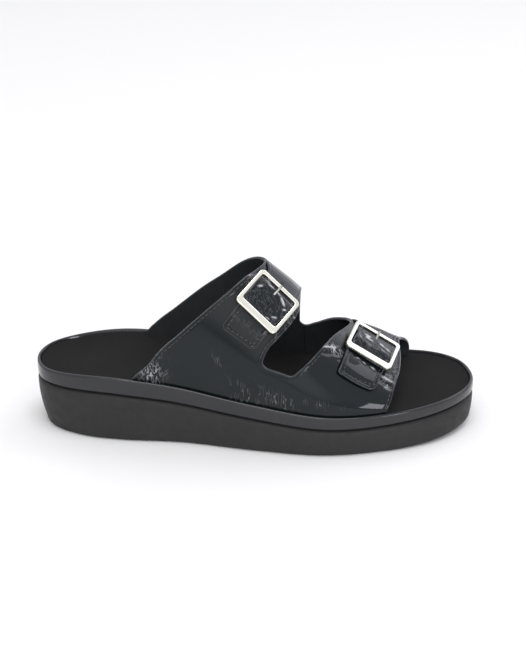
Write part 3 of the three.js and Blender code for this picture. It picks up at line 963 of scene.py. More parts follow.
@dataclass
class Upper:
    """Wall of the upper with its rows of stitches, its own sizes in millimetres."""

    maker: Maker
    last: Last
    edge_round: float = 0.85
    lining_round: float = 0.5
    channel_inset: float = 2.1
    channel_width: float = 0.4
    channel_depth: float = 0.16
    columns_behind: int = 92
    columns_gap: int = 20
    columns_before: int = 40
    lines_foot: int = 18
    lines_between: int = 126
    lines_head: int = 12
    lines_edge: int = 500
    corner_steps: int = 9
    corner_crowding: float = 1.6
    corner_room: float = 1.05
    rim_corner_steps: int = 40
    rim_corner: float = 0.0158
    rim_from: float = 0.0165
    rim_steps: int = 200
    floor_steps: tuple[float, ...] = (0.0015, 0.0035, 0.006, 0.009)
    floor_clear: float = 0.014
    crease_clear: tuple[float, float] = (0.5, 3.0)
    stitch_sink: float = 0.05
    stitch_steps: int = 300
    smooth_angle: float = 50.0
    stitch_rows: tuple[tuple[str, float, float, float], ...] = (
        ("rear", 2.0, 0.012, 0.40),
        ("rear", 2.0, 0.60, 0.988),
        ("gap_rear", -2.0, GAP_FLOORS[0] + 0.012, 0.38),
        ("gap_rear", -2.0, 0.60, GAP_FLOORS[1] - 0.012),
        ("gap_front", 2.0, GAP_FLOORS[0] + 0.012, 0.42),
        ("gap_front", 2.0, 0.70, GAP_FLOORS[1] - 0.012),
        ("front", -2.0, 0.012, 0.42),
        ("front", -2.0, 0.70, 0.988),
    )

    def build(self, finishes: "Finishes") -> None:
        """Makes and dresses the wall and its stitches.

        Args:
            finishes: Materials of the shoe.
        """
        leather = [finishes.patent, finishes.lining, finishes.patent]
        self.maker.make("upper_wall", self.wall(), leather, Slot.UPPER, ["upper"], self.smooth_angle)
        self.maker.make("upper_stitches", self.stitches(), [finishes.thread], Slot.UPPER)

    def edges(self, girth: Array) -> dict[str, Array]:
        """Edges of the wall, with the gap's corners rounded.

        Args:
            girth: Girths of the wall, from 0 at the outer root to 1 at the inner root.

        Returns:
            Stations of the rear and front edges and of the gap's two sides.
        """
        depth = np.minimum(girth - GAP_FLOORS[0], GAP_FLOORS[1] - girth) * SIZE.girth_length
        round_ = np.clip(1 - depth / SIZE.gap_corner, 0, 1)
        pull = SIZE.gap_corner * (1 - np.sqrt(1 - round_**2))
        return {
            "rear": SIZE.length * EDGE.value("rear", girth),
            "gap_rear": SIZE.length * GAP.value("rear", girth) + pull,
            "gap_front": SIZE.length * GAP.value("front", girth) - pull,
            "front": SIZE.length * EDGE.value("front", girth),
        }

    def on_wall(self, x: Array, girth: Array) -> Array:
        """Point of the wall on one of its lines."""
        return self.last.point(x, self.last.leaned(girth, x))

    def girths(self) -> Array:
        """Lines of the wall, close together where the gap turns its corners.

        Returns:
            The girths, in order.
        """
        corner = self.corner_room * SIZE.gap_corner / SIZE.girth_length
        turn = np.linspace(0, 1, self.corner_steps) ** self.corner_crowding * corner
        low, high = GAP_FLOORS[0] + turn, (GAP_FLOORS[1] - turn)[::-1]
        beside, clear = np.array(self.floor_steps), self.floor_clear
        foot = np.linspace(0, GAP_FLOORS[0] - clear, self.lines_foot)
        foot = np.concatenate([foot, GAP_FLOORS[0] - beside[::-1]])
        head = np.linspace(GAP_FLOORS[1] + clear, 1, self.lines_head)
        head = np.concatenate([GAP_FLOORS[1] + beside, head])
        between = np.linspace(low[-1], high[0], self.lines_between)[1:-1]
        return np.concatenate([foot, low, between, high, head])

    def edge_lines(self) -> list[Array]:
        """Polylines of the wall's free edges.

        Returns:
            Rear edge, front edge and the gap's rim.
        """
        whole = np.linspace(0, 1, self.lines_edge)
        lines = [self.on_wall(self.edges(whole)[side], whole) for side in ("rear", "front")]
        middle = (GAP_FLOORS[1] - GAP_FLOORS[0]) / 2
        corner = np.linspace(0, 1, self.rim_corner_steps) ** self.corner_crowding * self.rim_corner
        inner = np.concatenate([corner, np.linspace(self.rim_from, 0.5, self.rim_steps)])
        gap = np.concatenate([GAP_FLOORS[0] + inner, (GAP_FLOORS[1] - inner[inner < middle])[::-1]])
        gap = np.unique(np.clip(gap, *GAP_FLOORS))
        rear = self.on_wall(self.edges(gap)["gap_rear"], gap)
        front = self.on_wall(self.edges(gap)["gap_front"], gap)
        floors = []
        for floor in GAP_FLOORS:
            ends = self.edges(np.array([floor]))
            x = np.linspace(ends["gap_rear"][0], ends["gap_front"][0], self.columns_gap)
            floors.append(self.on_wall(x, np.full(self.columns_gap, floor)))
        return [*lines, np.concatenate([rear, floors[1][1:-1], front[::-1], floors[0][::-1]])]

    def wall(self) -> Skin:
        """Both quarters and both straps in one sheet.

        Returns:
            The skin.
        """
        girth = self.girths()
        edges = self.edges(girth)
        behind = clustered(edges["rear"], edges["gap_rear"], self.columns_behind, EDGE_STEPS)
        before = clustered(edges["gap_front"], edges["front"], self.columns_before, EDGE_STEPS)
        across = np.linspace(0, 1, self.columns_gap)[None, 1:-1]
        gap = edges["gap_rear"][:, None] + (edges["gap_front"] - edges["gap_rear"])[:, None] * across
        x = np.concatenate([behind, gap, before], axis=1)
        leaned = self.last.leaned(np.broadcast_to(girth[:, None], x.shape), x)
        points, normals = self.last.point(x, leaned), self.last.normal(x, leaned)
        distance = distance_to(points, self.edge_lines())
        creases = wall_relief(x, leaned)
        channel = self.channel_depth * bump_at(distance, self.channel_inset, self.channel_width)
        lift = creases * smoothstep(*self.crease_clear, distance)
        lift = lift - edge_drop(distance, self.edge_round) - channel
        top = points + normals * lift[..., None]
        depth = SIZE.wall - edge_drop(distance, self.lining_round)
        under = points - normals * depth[..., None]
        under[0, :, 2], under[-1, :, 2] = points[0, :, 2], points[-1, :, 2]
        is_open = np.zeros((top.shape[0] + 1, top.shape[1] - 1), bool)
        floors = [int(np.argmin(np.abs(girth - floor))) + 1 for floor in GAP_FLOORS]
        is_open[floors[0] : floors[1], behind.shape[1] - 1 : behind.shape[1] + gap.shape[1]] = True
        values = {
            "edge_mm": distance,
            "crinkle": mask(CRINKLES, x, leaned),
            "wrinkle": mask(CREASED, x, leaned),
            # Share of painted highlight on the fold ridges.
            "ridge_glint": ridge_glint_share(creases),
            # Share of the crest, where a thinner coat paints shade on the reflection.
            "crest": crest_dimming_share(leaned),
        }
        rooted = {key: np.pad(value, ((1, 1), (0, 0)), mode="edge") for key, value in values.items()}
        return sheet(self.with_roots(top), self.with_roots(under), is_open, rooted)

    def with_roots(self, points: Array) -> Array:
        """A grid of the wall with one more row at each foot, sunk behind the band."""
        root = np.array([0, 0, SIZE.root])
        return np.concatenate([points[:1] - root, points, points[-1:] - root])

    def stitches(self) -> Skin:
        """Rows of stitches along the wall's edges, left out where a strap's end lies over them.

        Returns:
            The skin.
        """
        skins = []
        for side, step, start, end in self.stitch_rows:
            girth = np.linspace(start, end, self.stitch_steps)
            x = self.edges(girth)[side]
            line = self.on_wall(x, girth)
            normals = self.last.normal(x, self.last.leaned(girth, x))
            across = np.cross(normals, unit(np.gradient(line, axis=0)))
            inward = self.on_wall(x + step, girth) - line
            across *= np.sign((inward * across).sum(axis=1))[:, None]
            skins.append(Stitcher().along(line + across * self.channel_inset, normals, -self.stitch_sink))
        return merged(skins)


def wrap(rows: int, columns: int, closed: bool) -> list[tuple[int, ...]]:
    """Faces of a grid whose columns meet their first ones again.

    Args:
        rows: Number of rows.
        columns: Number of columns.
        closed: Whether the rows meet their first one too.

    Returns:
        The faces.
    """
    faces = []
    for i in range(rows if closed else rows - 1):
        n = (i + 1) % rows
        for j in range(columns):
            m = (j + 1) % columns
            faces.append((i * columns + j, n * columns + j, n * columns + m, i * columns + m))
    return faces


# A direction that no tube runs along
ASLANT = np.array([0.31, 0.9, 0.3])
# A punched hole: a direction off its normal, and its rings as shares of its radius and heights
HOLE_ASLANT = np.array([0.2, 0.1, 0.97])
HOLE_RINGS = ((1.25, -0.05), (1.12, 0.1), (0.98, 0.1), (0.85, -0.02), (0.0, -0.04))
HOLE_SIDES = 24


def tube(path: Array, radii: Array, sides: int) -> Skin:
    """Closed tube along a path.

    Args:
        path: Points of its middle line.
        radii: Its radius at each of them.
        sides: Number of its sides.

    Returns:
        The skin.
    """
    way = unit(np.gradient(path, axis=0))
    side = unit(np.cross(way, ASLANT))
    up = np.cross(side, way)
    turns = np.linspace(0, 2 * math.pi, sides + 1)[:-1, None]
    spokes = np.cos(turns) * side[:, None, :] + np.sin(turns) * up[:, None, :]
    points = path[:, None, :] + spokes * radii[:, None, None]
    faces = [face[::-1] for face in wrap(len(path), sides, False)]
    last = (len(path) - 1) * sides
    faces += [tuple(range(sides)), tuple(range(last + sides - 1, last - 1, -1))]
    return Skin(points.reshape(-1, 3), faces)


def cup(centre: Array, normal: Array, radius: float) -> Skin:
    """Small dish with a raised lip, set in a face.

    Args:
        centre: Its middle in the face.
        normal: Normal of the face.
        radius: Radius of the hole.

    Returns:
        The skin.
    """
    side = unit(np.cross(normal, HOLE_ASLANT))
    up = np.cross(normal, side)
    points = []
    for share, rise in HOLE_RINGS:
        for angle in np.linspace(0, 2 * math.pi, HOLE_SIDES + 1)[:-1]:
            spoke = math.cos(angle) * side + math.sin(angle) * up
            points.append(centre + normal * rise + radius * share * spoke)
    return Skin(np.array(points), wrap(len(HOLE_RINGS), HOLE_SIDES, False))


def merged(skins: Sequence[Skin]) -> Skin:
    """Several skins as one.

    Args:
        skins: The skins.

    Returns:
        The skin.
    """
    points, faces, start = [], [], 0
    for skin in skins:
        points.append(skin.points)
        faces += [tuple(v + start for v in face) for face in skin.faces]
        start += len(skin.points)
    return Skin(np.concatenate(points), faces)


@dataclass(frozen=True)
class Stitcher:
    """Lays rows of stitches, its sizes in millimetres."""

    pitch: float = 2.9
    length: float = 2.1
    radius: float = 0.27
    dip: float = 0.55
    thickness: tuple[float, ...] = (0.55, 0.85, 1, 1, 1, 0.85, 0.55)
    sides: int = 8

    def along(self, line: Array, normals: Array, rise: float) -> Skin:
        """Stitches on a line over a face.

        Args:
            line: Points of the face along the row.
            normals: Outward normals of the face along it.
            rise: Height of the row over the face.

        Returns:
            The stitches.
        """
        raised = line + normals * rise
        steps = np.linalg.norm(np.diff(raised, axis=0), axis=1)
        lengths = np.concatenate([[0], np.cumsum(steps)])
        half = self.length / 2
        skins = []
        for at in np.arange(self.pitch, lengths[-1] - self.pitch, self.pitch):
            start, end = (self.spot(raised, lengths, at + step) for step in (-half, half))
            skins.append(self.stitch(start, end, unit(self.spot(normals, lengths, at))))
        return merged(skins)

    @staticmethod
    def spot(rows: Array, lengths: Array, at: float) -> Array:
        """Row of a table at a length along the line."""
        return np.array([np.interp(at, lengths, rows[:, k]) for k in range(3)])

    def stitch(self, start: Array, end: Array, normal: Array) -> Skin:
        """One stitch: a short thread that dips into the leather at both ends.

        Args:
            start: Where the thread comes out.
            end: Where it goes in.
            normal: Normal of the leather.

        Returns:
            The skin.
        """
        t = np.linspace(0, 1, len(self.thickness))[:, None]
        rise = self.radius * (np.sin(math.pi * t) - self.dip)
        path = start + (end - start) * t + normal * rise
        return tube(path, self.radius * np.array(self.thickness), self.sides)


@dataclass
class Seat:
    """Axes of a buckle: u along its bars to the toe, v along the strap to the crest, n outward."""

    centre: Array
    u: Array
    v: Array
    n: Array
    height: float
    bar: float

    def place(self, u: Array | float, v: Array | float, n: Array | float) -> Array:
        """Point of the shoe at a place over the buckle's middle."""
        axes = np.stack([self.u, self.v, self.n])
        return self.centre + stack(u, v, n) @ axes

    def local(self, points: Array) -> Array:
        """Places of points in the buckle's axes."""
        return (points - self.centre) @ np.stack([self.u, self.v, self.n], axis=1)


@dataclass
class Buckle:
    """Frame with its centre bar, and prong, on a seat, its sizes in millimetres."""

    seat: Seat
    squareness: float = 4.5
    window_corner: float = 1.5
    bar_radius: float = 0.64
    bar_sink: float = 0.3
    corner_steps: int = 9
    round_steps: int = 24
    bar_steps: int = 6
    rod_sides: int = 16
    prong_bow: float = 0.9
    prong_rest: float = 0.4
    prong_dip: float = 0.3
    prong_steps: int = 26
    prong_taper: tuple[float, ...] = (0.95, 0.9, 0.62)
    tip_steps: tuple[float, ...] = (2.95, 2.98, 3.0)
    tip_taper: tuple[float, ...] = (0.85, 0.6, 0.25)

    def outline(self, half_u: float, low: float, high: float, radius: float) -> Array:
        """Rounded rectangle in the buckle's plane, anticlockwise from its right side.

        Args:
            half_u: Half of its width.
            low: Its lower edge.
            high: Its upper edge.
            radius: Radius of its corners.

        Returns:
            The points, u and v.
        """
        corners = ((half_u, high, 0), (-half_u, high, 90), (-half_u, low, 180), (half_u, low, 270))
        points = []
        for u, v, start in corners:
            cu, cv = u - math.copysign(radius, u), v - math.copysign(radius, v)
            for angle in np.radians(start + np.linspace(0, 90, self.corner_steps)):
                points.append((cu + radius * math.cos(angle), cv + radius * math.sin(angle)))
        return np.array(points)

    def frame(self) -> Skin:
        """Frame with soft edges and a wider bar on the tip side.

        Returns:
            The skin.
        """
        half_u, half_v = SIZE.buckle_width / 2, SIZE.buckle_length / 2
        inner_low, inner_high = SIZE.buckle_tip_bar - half_v, half_v - SIZE.buckle_bar
        outer = self.outline(half_u, -half_v, half_v, SIZE.buckle_corner)
        inner = self.outline(half_u - SIZE.buckle_bar, inner_low, inner_high, self.window_corner)
        turns = np.linspace(0, 2 * math.pi, self.round_steps + 1)[:-1]
        power = 2 / self.squareness
        out = np.sign(np.cos(turns)) * np.abs(np.cos(turns)) ** power
        up = np.sign(np.sin(turns)) * np.abs(np.sin(turns)) ** power
        middle, half = (outer + inner) / 2, (outer - inner) / 2
        flat = middle[:, None, :] + half[:, None, :] * out[None, :, None]
        rise = self.seat.height + SIZE.buckle_thickness / 2 * (1 + up)
        points = self.seat.place(flat[..., 0], flat[..., 1], np.broadcast_to(rise, flat.shape[:2]))
        return Skin(points.reshape(-1, 3), wrap(len(outer), len(turns), True))

    def bar(self) -> Skin:
        """Centre bar of the frame.

        Returns:
            The skin.
        """
        half = SIZE.buckle_width / 2 - SIZE.buckle_bar / 2
        along = np.linspace(-half, half, self.bar_steps)
        path = self.seat.place(along, 0.0, self.seat.bar - self.bar_sink)
        return tube(path, np.full(self.bar_steps, self.bar_radius), self.rod_sides)

    def ring(self) -> Skin:
        """Frame and bar as one: slot 0 on the frame, slot 1 on the bar, whose darker metal is painted shade.

        Returns:
            The skin.
        """
        frame, bar = self.frame(), self.bar()
        ring = merged([frame, bar])
        ring.slots = [0] * len(frame.faces) + [1] * len(bar.faces)
        return ring

    def prong(self) -> Skin:
        """Prong from under the strap over the upper bar, with a rounded tip.

        Returns:
            The skin.
        """
        start = (SIZE.centre_bar + SIZE.prong) / 2 + SIZE.gap
        rest = SIZE.buckle_length / 2 - SIZE.buckle_bar
        top = self.seat.height + SIZE.buckle_thickness
        on_bar = top + SIZE.gap + SIZE.prong / 2
        knots = Table("step", "v n", [
            (0, start, self.seat.bar),
            (1, (start + rest) / 2 - SIZE.prong, top - self.prong_bow),
            (2, rest - self.prong_rest, on_bar - self.prong_rest),
            (3, SIZE.buckle_length / 2 - self.prong_rest, on_bar - self.prong_dip),
        ])
        steps = np.concatenate([np.linspace(0, 2.9, self.prong_steps), self.tip_steps])
        radii = SIZE.prong / 2 * np.interp(steps, [0, 2, 3], self.prong_taper)
        radii[-len(self.tip_taper) :] *= self.tip_taper
        path = self.seat.place(0.0, knots.value("v", steps), knots.value("n", steps))
        return tube(path, radii, self.rod_sides)


@dataclass
class StrapEnd:
    """A strap's end with its holes, stitches and buckle, its own sizes in millimetres.

    The rim and the channel give their inset and their height. The perk and the crumpled tip give their
    place along the strap, their reach and their height or share, and the crumpled window its reach and share.
    The lip gives where it starts and ends, in from the edge, and its height.
    """

    AXIS_STEP: ClassVar[float] = 0.05
    PROBE_STEP: ClassVar[float] = 0.004
    JOINED: ClassVar[float] = 0.6
    STITCHED: ClassVar[float] = 0.25
    FAR: ClassVar[float] = 9.0

    maker: Maker
    last: Last
    strap: Strap
    tip_corner: float = 3.0
    join_girths: float = 0.13
    edge_round: float = 0.7
    rim: tuple[float, float] = (1.0, 0.12)
    channel: tuple[float, float] = (2.0, 0.2)
    line_width: float = 0.45
    perk: tuple[float, float, float] = (-24.0, 9.0, 0.8)
    lip: tuple[float, float, float] = (0.8, 2.6, 0.45)
    lip_drop: float = 1.0
    crumpled_tip: tuple[float, float, float] = (-16.0, 3.2, 0.25)
    crumpled_window: tuple[float, float] = (9.0, 0.3)
    fold_clear: tuple[float, float] = (0.2, 1.2)
    bar_clear: float = 0.1
    join_sink: float = 0.25
    smooth_angle: float = 50.0
    hole_radius: float = 0.95
    rows: int = 170
    corner_rows: int = 10
    corner_crowding: float = 1.7
    columns: int = 30
    stitch_column: int = 7
    stitch_inset: float = 2.1
    stitch_sink: float = 0.12
    stitch_clear: float = 0.5
    seat: Seat = field(init=False)

    def __post_init__(self) -> None:
        """Finds the buckle's seat."""
        self.seat = self.find_seat()

    def build(self, finishes: "Finishes") -> None:
        """Makes and dresses the strap's end, its holes, its stitches and its buckle.

        Args:
            finishes: Materials of the shoe.
        """
        name, buckle = self.strap.name, Buckle(self.seat)
        # Slot 2, the cut edges, takes the near-black finish as painted shade under the strap's edge.
        leather = [finishes.patent, finishes.lining, finishes.hole]
        # The centre bar's darker metal is painted shade.
        metals = [finishes.metal, finishes.bar_shade]
        frame_node, prong_node = f"buckle_{name}_frame", f"buckle_{name}_prong"
        end = self.leather()
        self.maker.make(f"strap_end_{name}", end, leather, Slot.UPPER, (), self.smooth_angle)
        self.maker.make(f"strap_holes_{name}", self.holes(), [finishes.hole], Slot.UPPER)
        self.maker.make(f"strap_stitches_{name}", self.stitches(), [finishes.thread], Slot.UPPER)
        self.maker.make(f"buckle_{name}_fine", buckle.ring(), metals, Slot.METAL, [frame_node])
        prong = buckle.prong()
        # The prong's darker metal is painted shade.
        self.maker.make(f"prong_{name}_fine", prong, [finishes.prong_shade], Slot.METAL, [prong_node])

    def middle(self, girth: float) -> Array:
        """Point of the strap's middle line."""
        return self.last.point(SIZE.length * self.strap.rows.value("middle", girth), girth)

    def find_seat(self) -> Seat:
        """Axes and heights of the buckle, clear of the leather under it.

        Returns:
            The seat.
        """
        girth = self.strap.buckle_girth
        centre = self.middle(girth)
        along = self.middle(girth + self.AXIS_STEP) - self.middle(girth - self.AXIS_STEP)
        normal = self.last.normal(centre[0], girth)
        u = unit(np.cross(along, normal))
        n = normal * math.cos(self.strap.tilt) + np.cross(u, normal) * math.sin(self.strap.tilt)
        seat = Seat(centre, u, np.cross(n, u), n, 0.0, 0.0)
        x = centre[0] + np.arange(-SIZE.buckle_width, SIZE.buckle_width + 1, 1.0)
        span = SIZE.buckle_length / SIZE.girth_length
        girths = girth + np.arange(-span, span, self.PROBE_STEP)
        places = seat.local(self.last.point(x[:, None], girths[None, :]))
        off_u, v, rise = np.abs(places[..., 0]), places[..., 1], places[..., 2]
        half_u, half_v = SIZE.buckle_width / 2, SIZE.buckle_length / 2
        within = (off_u < half_u) & (np.abs(v) < half_v)
        side = off_u > half_u - SIZE.buckle_bar
        end = (v < SIZE.buckle_tip_bar - half_v) | (v > half_v - SIZE.buckle_bar)
        over_strap = rise[within & ~side & end].max() + SIZE.strap
        seat.height = SIZE.gap + max(over_strap, rise[within & side].max())
        seat.bar = seat.height - SIZE.bar_drop + SIZE.centre_bar / 2
        return seat

    def grid(self) -> tuple[Array, Array, Array]:
        """Grid of the strap's face.

        Returns:
            Stations, girths, and how far each row has joined the wall.
        """
        rows = self.strap.rows
        tip, end = rows.at[0], rows.at[-1]
        corner = self.tip_corner / SIZE.girth_length
        turn = tip + np.linspace(0, 1, self.corner_rows) ** self.corner_crowding * corner
        girth = np.concatenate([turn, np.linspace(tip + corner, end, self.rows)[1:]])
        round_ = np.clip(1 - (girth - tip) / corner, 0, 1)
        pull = self.tip_corner * (1 - np.sqrt(1 - round_**2))
        middle = SIZE.length * rows.value("middle", girth)
        half = (SIZE.buckle_width / 2 - SIZE.buckle_bar) * rows.value("width", girth) - pull
        x = clustered(middle - half, middle + half, self.columns, EDGE_STEPS)
        across = (x - (middle - half)[:, None]) / (2 * half)[:, None]
        slant = self.strap.slant * (end - girth) / (end - tip)
        lines = girth[:, None] + slant[:, None] * (0.5 - across)
        return x, lines, smoothstep(end - self.join_girths, end, girth)

    def lift(self, places: Array, join: Array) -> Array:
        """Height of the strap's face over the wall.

        Args:
            places: Places in the buckle's axes.
            join: How far each row has joined the wall.

        Returns:
            The heights.
        """
        over_bar = self.seat.bar + SIZE.centre_bar / 2 + self.bar_clear
        over = over_bar * self.strap.plateau.value(places[..., 1])
        return (SIZE.strap + over) * (1 - join)[:, None] - self.join_sink * join[:, None]

    def perked(self, places: Array) -> Array:
        """How far the tip stands up off the wall."""
        at, reach, height = self.perk
        return height * bump_at(places[..., 1], at, reach)

    def leather(self) -> Skin:
        """The strap's end as a raised layer that lifts over the centre bar.

        Returns:
            The skin.
        """
        x, lines, join = self.grid()
        points, normals = self.last.point(x, lines), self.last.normal(x, lines)
        places = self.seat.local(points)
        distance = distance_to(points, [points[:, 0], points[:, -1], points[0]])
        free = (1 - join)[:, None]
        perk = self.perked(places)
        folds = folded(self.strap.folds, places[..., 0], places[..., 1])
        face = self.lift(places, join) + perk - edge_drop(distance, self.edge_round)
        face += self.rim[1] * bump_at(distance, self.rim[0], self.line_width) * free
        face -= self.channel[1] * bump_at(distance, self.channel[0], self.line_width) * free
        face += folds * smoothstep(*self.fold_clear, distance)
        tip = self.crumpled_tip[2] * bump_at(places[..., 1], *self.crumpled_tip[:2])
        window = self.crumpled_window[1] * np.exp(-((places[..., 1] / self.crumpled_window[0]) ** 6))
        top = points + normals * face[..., None]
        inner = smoothstep(*self.lip[:2], distance)
        lip = (self.lip[2] + perk) * (1 - inner) - self.lip_drop * inner
        under = points + normals * (lip * free - SIZE.wall / 2 * (1 - free))[..., None]
        values = {
            "edge_mm": np.where(join[:, None] > self.JOINED, self.FAR, distance),
            # Crinkle share: bumps the crumpled tip and window, and sets their painted glints.
            "crinkle": (tip + window) * free,
            # Share of painted highlight on the fold ridges.
            "ridge_glint": ridge_glint_share(folds),
            # Share of the crest, where a thinner coat paints shade on the reflection.
            "crest": crest_dimming_share(lines),
        }
        return sheet(top, under, np.zeros((x.shape[0] - 1, x.shape[1] - 1), bool), values)

    def surface(self, u: float, v: float) -> tuple[Array, Array]:
        """Face of the strap at a place in the buckle's plane.

        Args:
            u: Place along the bars.
            v: Place along the strap.

        Returns:
            The nearest point of the face, and its normal.
        """
        x, lines, join = self.grid()
        points = self.last.point(x, lines)
        places = self.seat.local(points)
        off = (places[..., 0] - u) ** 2 + (places[..., 1] - v) ** 2
        near = np.unravel_index(np.argmin(off), x.shape)
        normal = self.last.normal(x, lines)[near]
        return points[near] + normal * self.lift(places, join)[near], normal

    def stitches(self) -> Skin:
        """Rows of stitches round the strap's tip, and along its sides past the buckle to where it joins.

        Returns:
            The skin.
        """
        x, lines, join = self.grid()
        points, normals = self.last.point(x, lines), self.last.normal(x, lines)
        places = self.seat.local(points)
        face = points + normals * (self.lift(places, join) + self.perked(places))[..., None]
        left, right = self.stitch_column, x.shape[1] - 1 - self.stitch_column
        clear = SIZE.buckle_length / 2 - self.stitch_clear
        from_tip = distance_to(points[:, x.shape[1] // 2], [points[0]])
        tip = int(np.argmax(from_tip > self.stitch_inset))
        below, above = (int(np.argmax(places[:, left, 1] > edge)) for edge in (-clear, clear))
        joined = int(np.argmax(join > self.STITCHED))
        spots = [(i, left) for i in range(below, tip, -1)]
        spots += [(tip, j) for j in range(left, right + 1)]
        spots += [(i, right) for i in range(tip + 1, below)]
        rows = [tuple(np.array(spots).T)]
        if joined > above:
            rows += [(np.arange(above, joined), np.full(joined - above, j)) for j in (left, right)]
        return merged([Stitcher().along(face[row], normals[row], -self.stitch_sink) for row in rows])

    def holes(self) -> Skin:
        """Punched holes as small cups that lie in the strap's face, their black a painted shade of the hole.
        """
        places = (*self.strap.holes, self.strap.prong_hole)
        return merged([cup(*self.surface(0.0, v), self.hole_radius) for v in places])


class Val:
    """A shader value that can be reckoned with."""

    def __init__(self, tree: "Tree", socket: bpy.types.NodeSocket) -> None:
        """Wraps an output socket of a tree."""
        self.tree = tree
        self.socket = socket

    def _math(self, operation: str, other: "Val | float", swap: bool = False) -> "Val":
        """Result of one operation of the Math node."""
        pair = (other, self) if swap else (self, other)
        return self.tree.node("ShaderNodeMath", {0: pair[0], 1: pair[1]}, operation=operation)

    def __add__(self, other: "Val | float") -> "Val":
        """Sum."""
        return self._math("ADD", other)

    __radd__ = __add__

    def __sub__(self, other: "Val | float") -> "Val":
        """Difference."""
        return self._math("SUBTRACT", other)

    def __rsub__(self, other: float) -> "Val":
        """Difference from a number."""
        return self._math("SUBTRACT", other, swap=True)

    def __mul__(self, other: "Val | float") -> "Val":
        """Product."""
        return self._math("MULTIPLY", other)

    __rmul__ = __mul__

    def away(self) -> "Val":
        """The value without its sign."""
        return self._math("ABSOLUTE", 0.0)

    def between(self, low: float, high: float, start: float = 0.0, end: float = 1.0) -> "Val":
        """Smooth change from start to end as the value goes from low to high."""
        inputs = {"Value": self, "From Min": low, "From Max": high, "To Min": start, "To Max": end}
        return self.tree.node("ShaderNodeMapRange", inputs, interpolation_type="SMOOTHSTEP")


class Tree:
    """Node tree of a material or of the surroundings."""

    def __init__(self, tree: bpy.types.NodeTree) -> None:
        """Wraps a node tree."""
        self.tree = tree

    def node(self, kind: str, inputs: dict[int | str, "Val | float | tuple"],
             output: int | str = 0, **settings: object) -> Val:
        """Adds a node.

        Args:
            kind: Type of the node.
            inputs: Values or links of its sockets.
            output: The socket that is wanted.
            settings: Properties of the node, set first.

        Returns:
            One of its outputs.
        """
        made = self.tree.nodes.new(kind)
        for key, value in settings.items():
            setattr(made, key, value)
        for key, value in inputs.items():
            if isinstance(value, Val):
                self.tree.links.new(value.socket, made.inputs[key])
            else:
                made.inputs[key].default_value = value
        return Val(self, made.outputs[output])

    def mix(self, factor: Val, low: "Val | tuple", high: "Val | tuple") -> Val:
        """Colour between two."""
        return self.node("ShaderNodeMix", {0: factor, 6: low, 7: high}, 2, data_type="RGBA")


class Paint(Tree):
    """One procedural material on a principled shader, with lengths in metres on the object."""

    MILLIMETRE = 0.001

    def __init__(self, name: str, **constants: float | tuple) -> None:
        """Makes the material.

        Args:
            name: Name of the material.
            constants: Values of the shader's sockets, with blanks written as underscores.
        """
        self.material = bpy.data.materials.new(name)
        self.material.use_nodes = True
        super().__init__(self.material.node_tree)
        self.shader = self.tree.nodes["Principled BSDF"]
        for key, value in constants.items():
            self.shader.inputs[key.replace("_", " ").title().replace("Ior", "IOR")].default_value = value

    def place(self, stretch: tuple[float, float, float] = (1, 1, 1)) -> Val:
        """Place on the object, stretched."""
        place = self.node("ShaderNodeTexCoord", {}, "Object")
        return self.node("ShaderNodeMapping", {"Vector": place, "Scale": stretch})

    def value(self, name: str) -> Val:
        """A per-vertex value of the mesh."""
        return self.node("ShaderNodeAttribute", {}, "Fac", attribute_name=name)

    def noise(self, per_metre: float, detail: float = 3, roughness: float = 0.5,
              stretch: tuple[float, float, float] = (1, 1, 1)) -> Val:
        """Cloudy noise.

        Args:
            per_metre: Number of its lumps in a metre.
            detail: Number of finer layers.
            roughness: Weight of each layer to the one before.
            stretch: Scale of the three axes.

        Returns:
            The noise, about 0.5 on average.
        """
        place = self.place(stretch)
        inputs = {"Vector": place, "Scale": per_metre, "Detail": detail, "Roughness": roughness}
        return self.node("ShaderNodeTexNoise", inputs)

    def cells(self, per_metre: float, feature: str = "F1", stretch: tuple = (1, 1, 1)) -> Val:
        """Distance to the nearest of scattered points, or to the edge between two of them."""
        inputs = {"Vector": self.place(stretch), "Scale": per_metre}
        return self.node("ShaderNodeTexVoronoi", inputs, "Distance", feature=feature)

    def set(self, name: str, value: Val) -> None:
        """Feeds one of the shader's sockets."""
        self.tree.links.new(value.socket, self.shader.inputs[name])

    def relief(self, height: Val) -> None:
        """Relief of the surface, with its height in millimetres."""
        inputs = {"Height": height, "Distance": self.MILLIMETRE, "Strength": 1.0}
        self.set("Normal", self.node("ShaderNodeBump", inputs, "Normal"))


def rgb(red: float, green: float, blue: float) -> Colour:
    """Opaque colour."""
    return (red, green, blue, 1.0)


